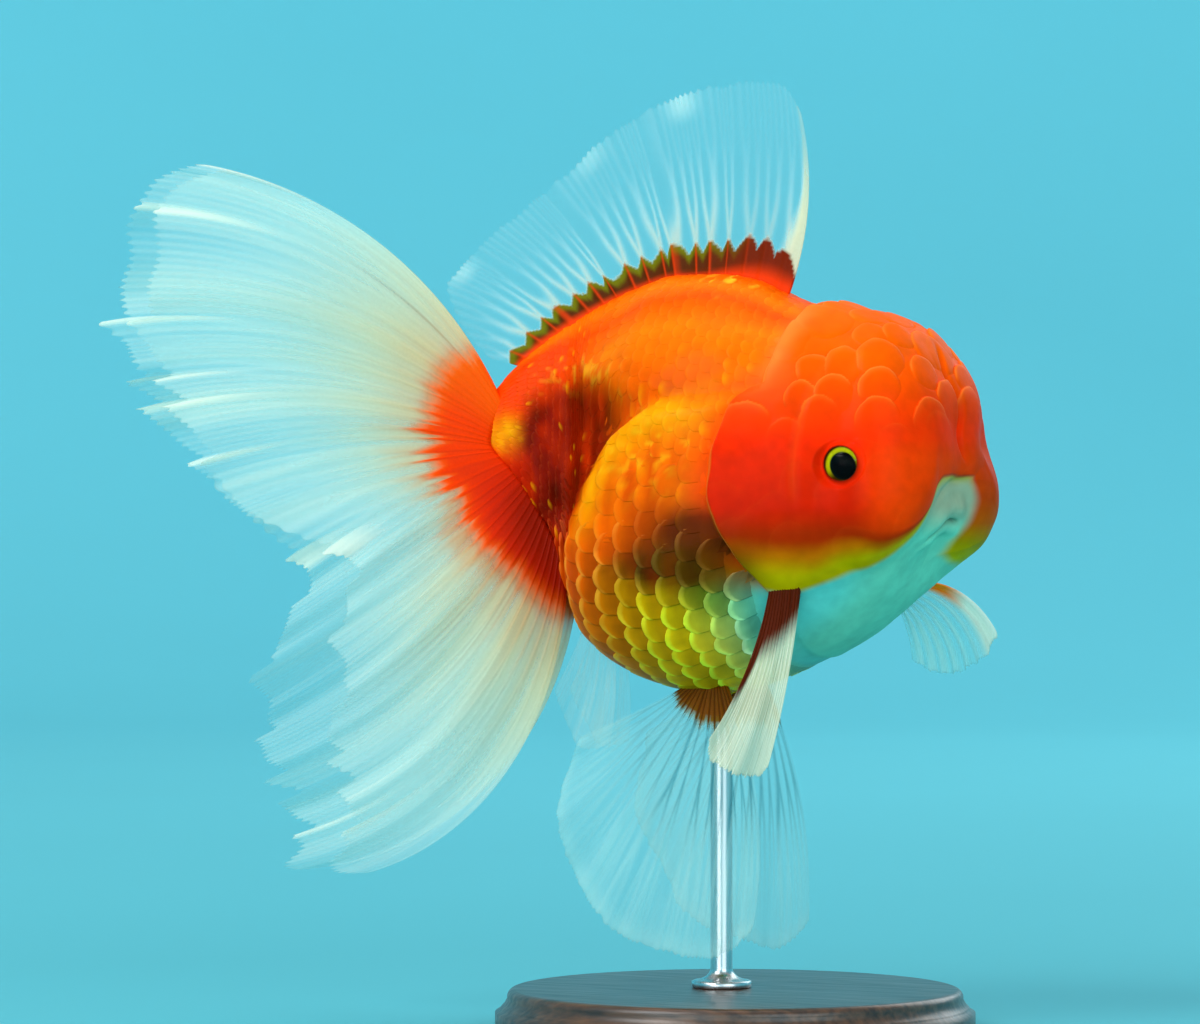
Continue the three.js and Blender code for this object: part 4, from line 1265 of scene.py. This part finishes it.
def fins():
    anal_look = small_fin_look(BROWN, reach=-0.1, blade=FIN_WHITE, opaque=0.06)
    for side_name, side in (("right", 1), ("left", -1)):
        fin_piece(
            f"tail_{side_name}", tail_half(side), tail_look,
            [f"tail_fin_upper_{side_name}", f"tail_fin_lower_{side_name}"], rays=TAIL_RAYS, grid=(560, 72),
            ragged=0.05, body=2.6, ridges=(0.2, 0.1), splits=(0.22, 0.5), folds=TAIL_FOLDS, notch=0.07,
        )
        fin_piece(
            f"pelvic_{side_name}", pelvic_fan(side), pelvic_look, [f"pelvic_fin_{side_name}"],
            rays=PELVIC_RAYS, grid=(230, 46), ragged=0.03, body=1.8, ridges=(0.4, 0.12),
        )
        fin_piece(
            f"anal_{side_name}", anal_fan(side), anal_look, [f"anal_fin_{side_name}"], rays=8, grid=(110, 28),
            ragged=0.03, body=1.4, ridges=(0.4, 0.12),
        )
    fin_piece(
        "dorsal", dorsal_fan, dorsal_look, ["dorsal_fin"], rays=DORSAL_RAYS, grid=(400, 60), ragged=0.05,
        body=2.0, ridges=(0.5, 0.12), splits=(0.16, 0.5),
    )
    right_look = small_fin_look(srgb(84, 22, 0), reach=0.32, blade=srgb(206, 208, 172), opaque=0.52)
    fin_piece(
        "pectoral_right", pectoral_right_fan, right_look, ["pectoral_fin_right"], rays=12, grid=(160, 44),
        ragged=0.04, body=2.0, ridges=(0.4, 0.14),
    )
    fin_piece(
        "pectoral_left", pectoral_left_fan, left_pectoral_look, ["pectoral_fin_left"], rays=16,
        grid=(200, 44), ragged=0.04, body=2.0, ridges=(0.4, 0.15),
    )


# ---------------------------------------------------------------- turned pieces
def lathe(name, profile, middle, axis, segments=96, tint=None):
    """A closed turned piece: profile is (radius, along) pairs from one end of the axis to the other, and
    tint(points) its colours."""
    radius, along = np.array(profile, float).T
    axis = unit(np.asarray(axis, float))
    aside = unit(np.cross(axis, UP if abs(axis[2]) < 0.9 else (1.0, 0, 0)))
    turn = np.arange(segments) * 2 * np.pi / segments
    ring = np.cos(turn)[:, None] * aside + np.sin(turn)[:, None] * np.cross(axis, aside)
    points = middle + radius[1:-1, None, None] * ring + along[1:-1, None, None] * axis
    points = np.concatenate([points.reshape(-1, 3), [middle + axis * along[0], middle + axis * along[-1]]])
    rings = len(radius) - 2
    i, j = np.indices((rings - 1, segments)).reshape(2, -1)
    a, b = i * segments + j, i * segments + (j + 1) % segments
    walls = stacked(a, b, b + segments, a + segments)
    j = np.arange(segments)
    after = (j + 1) % segments
    top = (rings - 1) * segments
    first = stacked(len(points) - 2, after, j)
    last = stacked(len(points) - 1, top + j, top + after)
    return mesh_object(name, points, [walls, first, last], tint(points) if tint else None)


def arc(middle, size, first, last, count):
    """Points of a round or oval arc in a profile, from one angle to another."""
    return [
        (middle[0] + size[0] * math.cos(turn), middle[1] + size[1] * math.sin(turn))
        for turn in np.linspace(first, last, count)
    ]


QUARTER = math.pi / 2
PUPIL_RADIUS = 2.75
IRIS_DEPTH = 3.15  # from the middle of the eyeball to the iris
IRIS_RADIUS = 3.75
IRIS_PROFILE = [
    (IRIS_RADIUS, -0.08), (IRIS_RADIUS - 0.35, 0), (PUPIL_RADIUS + 0.5, 0.12), (PUPIL_RADIUS + 0.1, 0.2),
    (PUPIL_RADIUS, 0.16), (PUPIL_RADIUS - 0.1, 0), (PUPIL_RADIUS * 0.6, -0.25), (0, -0.35),
]


def eye_tint(middle, axis):
    """The colours of an eyeball: a black pupil in a yellow iris that is painted darker below, on the snout's
    side, as shade.
    """

    def tint(points):
        away = points - middle
        off_axis = away - (away @ axis)[:, None] * axis
        radius = np.linalg.norm(off_axis, axis=-1)
        # Painted light: the iris is yellow on its upper side and shaded below.
        lit = smooth(unit(off_axis) @ unit(np.array((-0.4, 0, 0.92))), -0.5, 0.3)
        return layered(
            SHADED_IRIS,
            (IRIS_YELLOW, lit),
            (srgb(38, 22, 4), smooth(radius, IRIS_RADIUS - 0.3, IRIS_RADIUS)),
            (PUPIL_BLACK, fall(radius, PUPIL_RADIUS - 0.1, PUPIL_RADIUS)),
        )

    return tint


def eyes():
    for side_name, side in (("right", 1), ("left", -1)):
        middle, outwards, _, _ = eye_axes(side)
        axis = unit(outwards + np.array((0.12, 0, -0.12)))
        limb = QUARTER - math.asin((IRIS_RADIUS + 0.15) / EYE_RADIUS)
        ball = arc((0, 0), (EYE_RADIUS, 0.985 * EYE_RADIUS), -QUARTER, limb, 24)
        iris = [(radius, IRIS_DEPTH + along) for radius, along in IRIS_PROFILE]
        piece = lathe(f"eyeball_{side_name}", ball + iris, middle, axis, 72, eye_tint(middle, axis))
        on_model(piece, EYE_MATERIAL, "eye", f"eye_{side_name}")
        dome = [(0, IRIS_DEPTH + 0.28), (IRIS_RADIUS - 0.3, IRIS_DEPTH + 0.28)]
        dome += arc((0, 0), (EYE_RADIUS, 1.02 * EYE_RADIUS), limb + 0.02, QUARTER, 16)
        on_model(lathe(f"cornea_{side_name}", dome, middle, axis, 72), CORNEA, "eye")


def upright(low, high):
    """The radius, the middle of the foot and the top of an upright round solid, in millimetres."""
    middle = np.array((low[0] + high[0], low[1] + high[1], 0)) / 2 / MM
    return (high[0] - low[0]) / 2 / MM, middle, high[2] / MM


def stand():
    radius, middle, height = upright(*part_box("stand_base"))
    bead = 1.6
    profile = [(0, 0), (radius - 0.8, 0), (radius, 0.7), (radius, height * 0.42)]
    profile += [
        (radius - 2.2 + 1.2 * math.cos(turn), height * 0.45 + 0.4 + 0.3 * k)
        for k, turn in enumerate(np.linspace(0.2, 1.2, 4))
    ]
    profile += arc((radius - 2.4 - bead, height - bead), (bead, bead), -0.2, QUARTER, 9)
    profile += [(radius * 0.6, height), (0, height)]
    on_model(lathe("stand_plinth", profile, middle, UP, 160), WOOD, "stand_wood", "stand_base")
    collar, middle, rod_top = upright(*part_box("stand_rod"))
    rod = 2.2
    profile = [(0, height), (collar - 0.3, height), (collar, height + 0.3), (collar, height + 1.3)]
    profile += arc((collar, height + 3.9), (collar - rod, 2.4), -QUARTER - 0.1, -math.pi, 10)
    profile += [(rod, rod_top - 1), (rod, rod_top + 3), (0, rod_top + 3)]
    on_model(lathe("stand_post", profile, middle, UP, 64), STEEL, "stand_steel", "stand_rod")


# ---------------------------------------------------------------- materials
class Nodes:
    """A material's node tree, with short calls to add and join nodes."""

    def __init__(self, name):
        self.material = bpy.data.materials.new(name)
        self.material.use_nodes = True
        self.tree = self.material.node_tree
        self.shader = self.tree.nodes["Principled BSDF"]

    def add(self, kind, **settings):
        node = self.tree.nodes.new("ShaderNode" + kind)
        inputs = settings.pop("inputs", {})
        for key, value in settings.items():
            setattr(node, key, value)
        for key, value in inputs.items():
            self.put(node, key, value)
        return node

    def put(self, node, key, value):
        """value is a number, a colour or another node's output."""
        if isinstance(value, bpy.types.NodeSocket):
            self.tree.links.new(value, node.inputs[key])
        else:
            node.inputs[key].default_value = value

    def shade(self, **inputs):
        for key, value in inputs.items():
            self.put(self.shader, key.replace("_", " "), value)
        return self.material

    def noise(self, scale, detail=3.0, stretch=(1, 1, 1)):
        place = self.add("TexCoord").outputs["Object"]
        scaled = self.add("Mapping", inputs={"Vector": place, "Scale": stretch})
        inputs = {"Vector": scaled.outputs["Vector"], "Scale": scale, "Detail": detail}
        return self.add("TexNoise", inputs=inputs).outputs["Fac"]

    def between(self, value, low, high):
        """value, which runs from about 0.25 to 0.75, spread from low to high."""
        limits = {"From Min": 0.25, "From Max": 0.75, "To Min": low, "To Max": high, "Value": value}
        return self.add("MapRange", inputs=limits).outputs["Result"]

    def varied(self, colour, value, low, high):
        """The colour made darker and lighter as value goes from low to high."""
        factor = self.between(value, low, high)
        grey = self.add("CombineColor", inputs={"Red": factor, "Green": factor, "Blue": factor})
        # A Mix node's factor is input 0, and its colours are inputs 6 and 7 and output 2.
        inputs = {0: 1.0, 6: colour, 7: grey.outputs["Color"]}
        return self.add("Mix", data_type="RGBA", blend_type="MULTIPLY", inputs=inputs).outputs[2]

    def stored(self, name, output="Color"):
        """What a piece of geometry stores under that name."""
        return self.add("Attribute", attribute_name=name).outputs[output]

    def bumped(self, height, distance, strength):
        inputs = {"Height": height, "Distance": distance, "Strength": strength}
        return self.add("Bump", inputs=inputs).outputs["Normal"]


def flesh(name, roughness, coat, grain, depth):
    """Wet skin or scale, in the colour stored on the mesh."""
    nodes = Nodes(name)
    tint = nodes.stored("tint")
    fine = nodes.noise(grain, 4.0)
    return nodes.shade(
        Base_Color=nodes.varied(tint, nodes.noise(420), 0.94, 1.06),
        Roughness=nodes.between(fine, roughness - 0.06, roughness + 0.06),
        Normal=nodes.bumped(fine, depth, 0.6),
        Specular_IOR_Level=0.015,
        Coat_Weight=coat,
        Coat_Roughness=0.14,
    )


def fin_material():
    nodes = Nodes("fin_membrane")
    tint = nodes.stored("tint")
    solid = nodes.stored("solid", "Fac")
    fine = nodes.noise(1800)
    return nodes.shade(
        Base_Color=nodes.varied(tint, fine, 0.96, 1.04),
        Alpha=solid,
        Roughness=nodes.between(fine, 0.36, 0.5),
        Normal=nodes.bumped(fine, 0.00004, 0.4),
        Specular_IOR_Level=0.05,
    )


def eye_material():
    nodes = Nodes("eye_ball")
    tint = nodes.stored("tint")
    return nodes.shade(
        Base_Color=nodes.varied(tint, nodes.noise(2600, 4.0), 0.8, 1.2), Roughness=0.6,
        Specular_IOR_Level=0.0,
    )


def cornea_material():
    nodes = Nodes("cornea")
    tree = nodes.tree
    clear = nodes.add("BsdfTransparent")
    gloss = nodes.add("BsdfGlossy", inputs={"Roughness": 0.03, "Color": (0.6, 0.6, 0.6, 1)})
    fresnel = nodes.add("Fresnel", inputs={"IOR": 1.2})
    # Only the outer side reflects.
    behind = nodes.add("NewGeometry").outputs["Backfacing"]
    outside = nodes.add("Math", operation="SUBTRACT", inputs={0: 1.0, 1: behind}).outputs[0]
    share = nodes.add("Math", operation="MULTIPLY", inputs={0: fresnel.outputs["Fac"], 1: outside}).outputs[0]
    mixed = nodes.add("MixShader", inputs={0: share, 1: clear.outputs[0], 2: gloss.outputs[0]})
    tree.links.new(mixed.outputs[0], tree.nodes["Material Output"].inputs["Surface"])
    tree.nodes.remove(nodes.shader)
    return nodes.material


def wood_material():
    nodes = Nodes("stand_wood")
    grain = nodes.noise(60, 6.0, stretch=(1, 12, 12))
    colours = nodes.add("ValToRGB", inputs={"Fac": grain})
    dark, light = colours.color_ramp.elements
    dark.position, light.position = 0.35, 0.7
    dark.color = (*srgb(46, 26, 16), 1)
    light.color = (*srgb(96, 60, 38), 1)
    return nodes.shade(
        Base_Color=colours.outputs["Color"], Roughness=nodes.between(grain, 0.42, 0.32),
        Normal=nodes.bumped(grain, 0.00015, 0.4), Coat_Weight=0.3, Coat_Roughness=0.25,
    )


def steel_material():
    nodes = Nodes("stand_steel")
    lines = nodes.noise(900, 2.0, stretch=(1, 1, 0.02))
    return nodes.shade(
        Base_Color=nodes.varied((*srgb(196, 200, 202), 1), lines, 0.9, 1.06), Metallic=1.0,
        Roughness=nodes.between(lines, 0.22, 0.36), Normal=nodes.bumped(lines, 0.00003, 0.3),
    )


def floor_material():
    """A little deeper in colour near the stand than on the wall, which stands further from the lamps."""
    nodes = Nodes("studio_floor")
    place = nodes.add("TexCoord").outputs["Object"]
    away = nodes.add("VectorMath", operation="LENGTH", inputs={0: place}).outputs["Value"]
    share = nodes.add("MapRange", inputs={"Value": away, "From Min": 0.2, "From Max": 2.4}).outputs["Result"]
    colours = nodes.add("ValToRGB", inputs={"Fac": share})
    near, far = colours.color_ramp.elements
    near.color, far.color = (*FLOOR_COLOUR, 1), (*WALL_COLOUR, 1)
    return nodes.shade(
        Base_Color=nodes.varied(colours.outputs["Color"], nodes.noise(3, 2.0), 0.985, 1.015), Roughness=0.75,
        Specular_IOR_Level=0.2,
    )


FLOOR_GAP = 0.0004  # between the floor and the stand, so that they don't flicker
FLOOR_COLOUR = srgb(86, 178, 190)
WALL_COLOUR = srgb(138, 238, 252)
SKIN = flesh("skin", roughness=0.45, coat=0.02, grain=1500, depth=0.00006)
SCALE = flesh("scales", roughness=0.4, coat=0.02, grain=2200, depth=0.00004)
FIN = fin_material()
EYE_MATERIAL = eye_material()
CORNEA = cornea_material()
WOOD = wood_material()
STEEL = steel_material()


# ---------------------------------------------------------------- studio
LAMPS_AIM = Vector((0, 0, 0.1))


def studio():
    """A pale floor that runs up into a wall all round, and soft lamps."""
    flat, bend, top = 1.5, 1.1, 2.4  # metres
    rim = flat + bend
    profile = [(0, -FLOOR_GAP), (0.4, -FLOOR_GAP), (flat, 0)]
    profile += arc((flat, bend), (bend, bend), 0.1 - QUARTER, 0, 14)
    profile += [(rim, top), (rim + 0.02, top), (rim + 0.02, -0.05), (0, -0.05)]
    profile = [(radius / MM, along / MM) for radius, along in profile[::-1]]
    bowl = lathe("studio_floor", profile, np.zeros(3), UP)
    bowl.data.materials.append(floor_material())
    for name, place, size, power in (  # metres and watts
        ("key", (-0.5, -1.15, 1.2), 0.8, 15),
        ("fill", (1.2, -0.9, 0.5), 1.2, 10),
        ("low", (0.0, -1.4, 0.12), 0.9, 8),
        ("top", (-0.1, 0.15, 1.5), 1.0, 5.5),
        ("rear", (0.3, 1.4, 0.9), 1.0, 7),
    ):
        light = bpy.data.lights.new(name, "AREA")
        light.energy, light.size = power, size
        lamp = bpy.data.objects.new(name, light)
        lamp.location = place
        lamp.rotation_euler = (LAMPS_AIM - Vector(place)).to_track_quat("-Z", "Y").to_euler()
        bpy.context.scene.collection.objects.link(lamp)
    world = bpy.data.worlds.new("studio")
    world.use_nodes = True
    background = world.node_tree.nodes["Background"]
    background.inputs["Color"].default_value = (1, 1, 1, 1)
    background.inputs["Strength"].default_value = 0.45
    bpy.context.scene.world = world
    bpy.context.scene.view_settings.view_transform = "Standard"


VIEW_TURN = 27  # degrees from the fish's side towards its head
VIEW_DISTANCE = 1.05
VIEW_WIDTH = 0.24  # what the picture spans at the fish
VIEW_MIDDLE = (-0.02406, -0.01226, 0.1032)


def camera():
    eye = bpy.data.cameras.new("camera")
    eye.sensor_width = 36
    eye.lens = eye.sensor_width * VIEW_DISTANCE / VIEW_WIDTH
    eye.clip_start = 0.01
    piece = bpy.data.objects.new("camera", eye)
    turn = math.radians(VIEW_TURN)
    away = Vector((math.sin(turn), -math.cos(turn), 0)) * VIEW_DISTANCE
    piece.location = Vector(VIEW_MIDDLE) + away
    piece.rotation_euler = (math.pi / 2, 0, turn)
    bpy.context.scene.collection.objects.link(piece)
    bpy.context.scene.camera = piece


camera()
studio()
skin()
scale_pieces()
fins()
eyes()
stand()
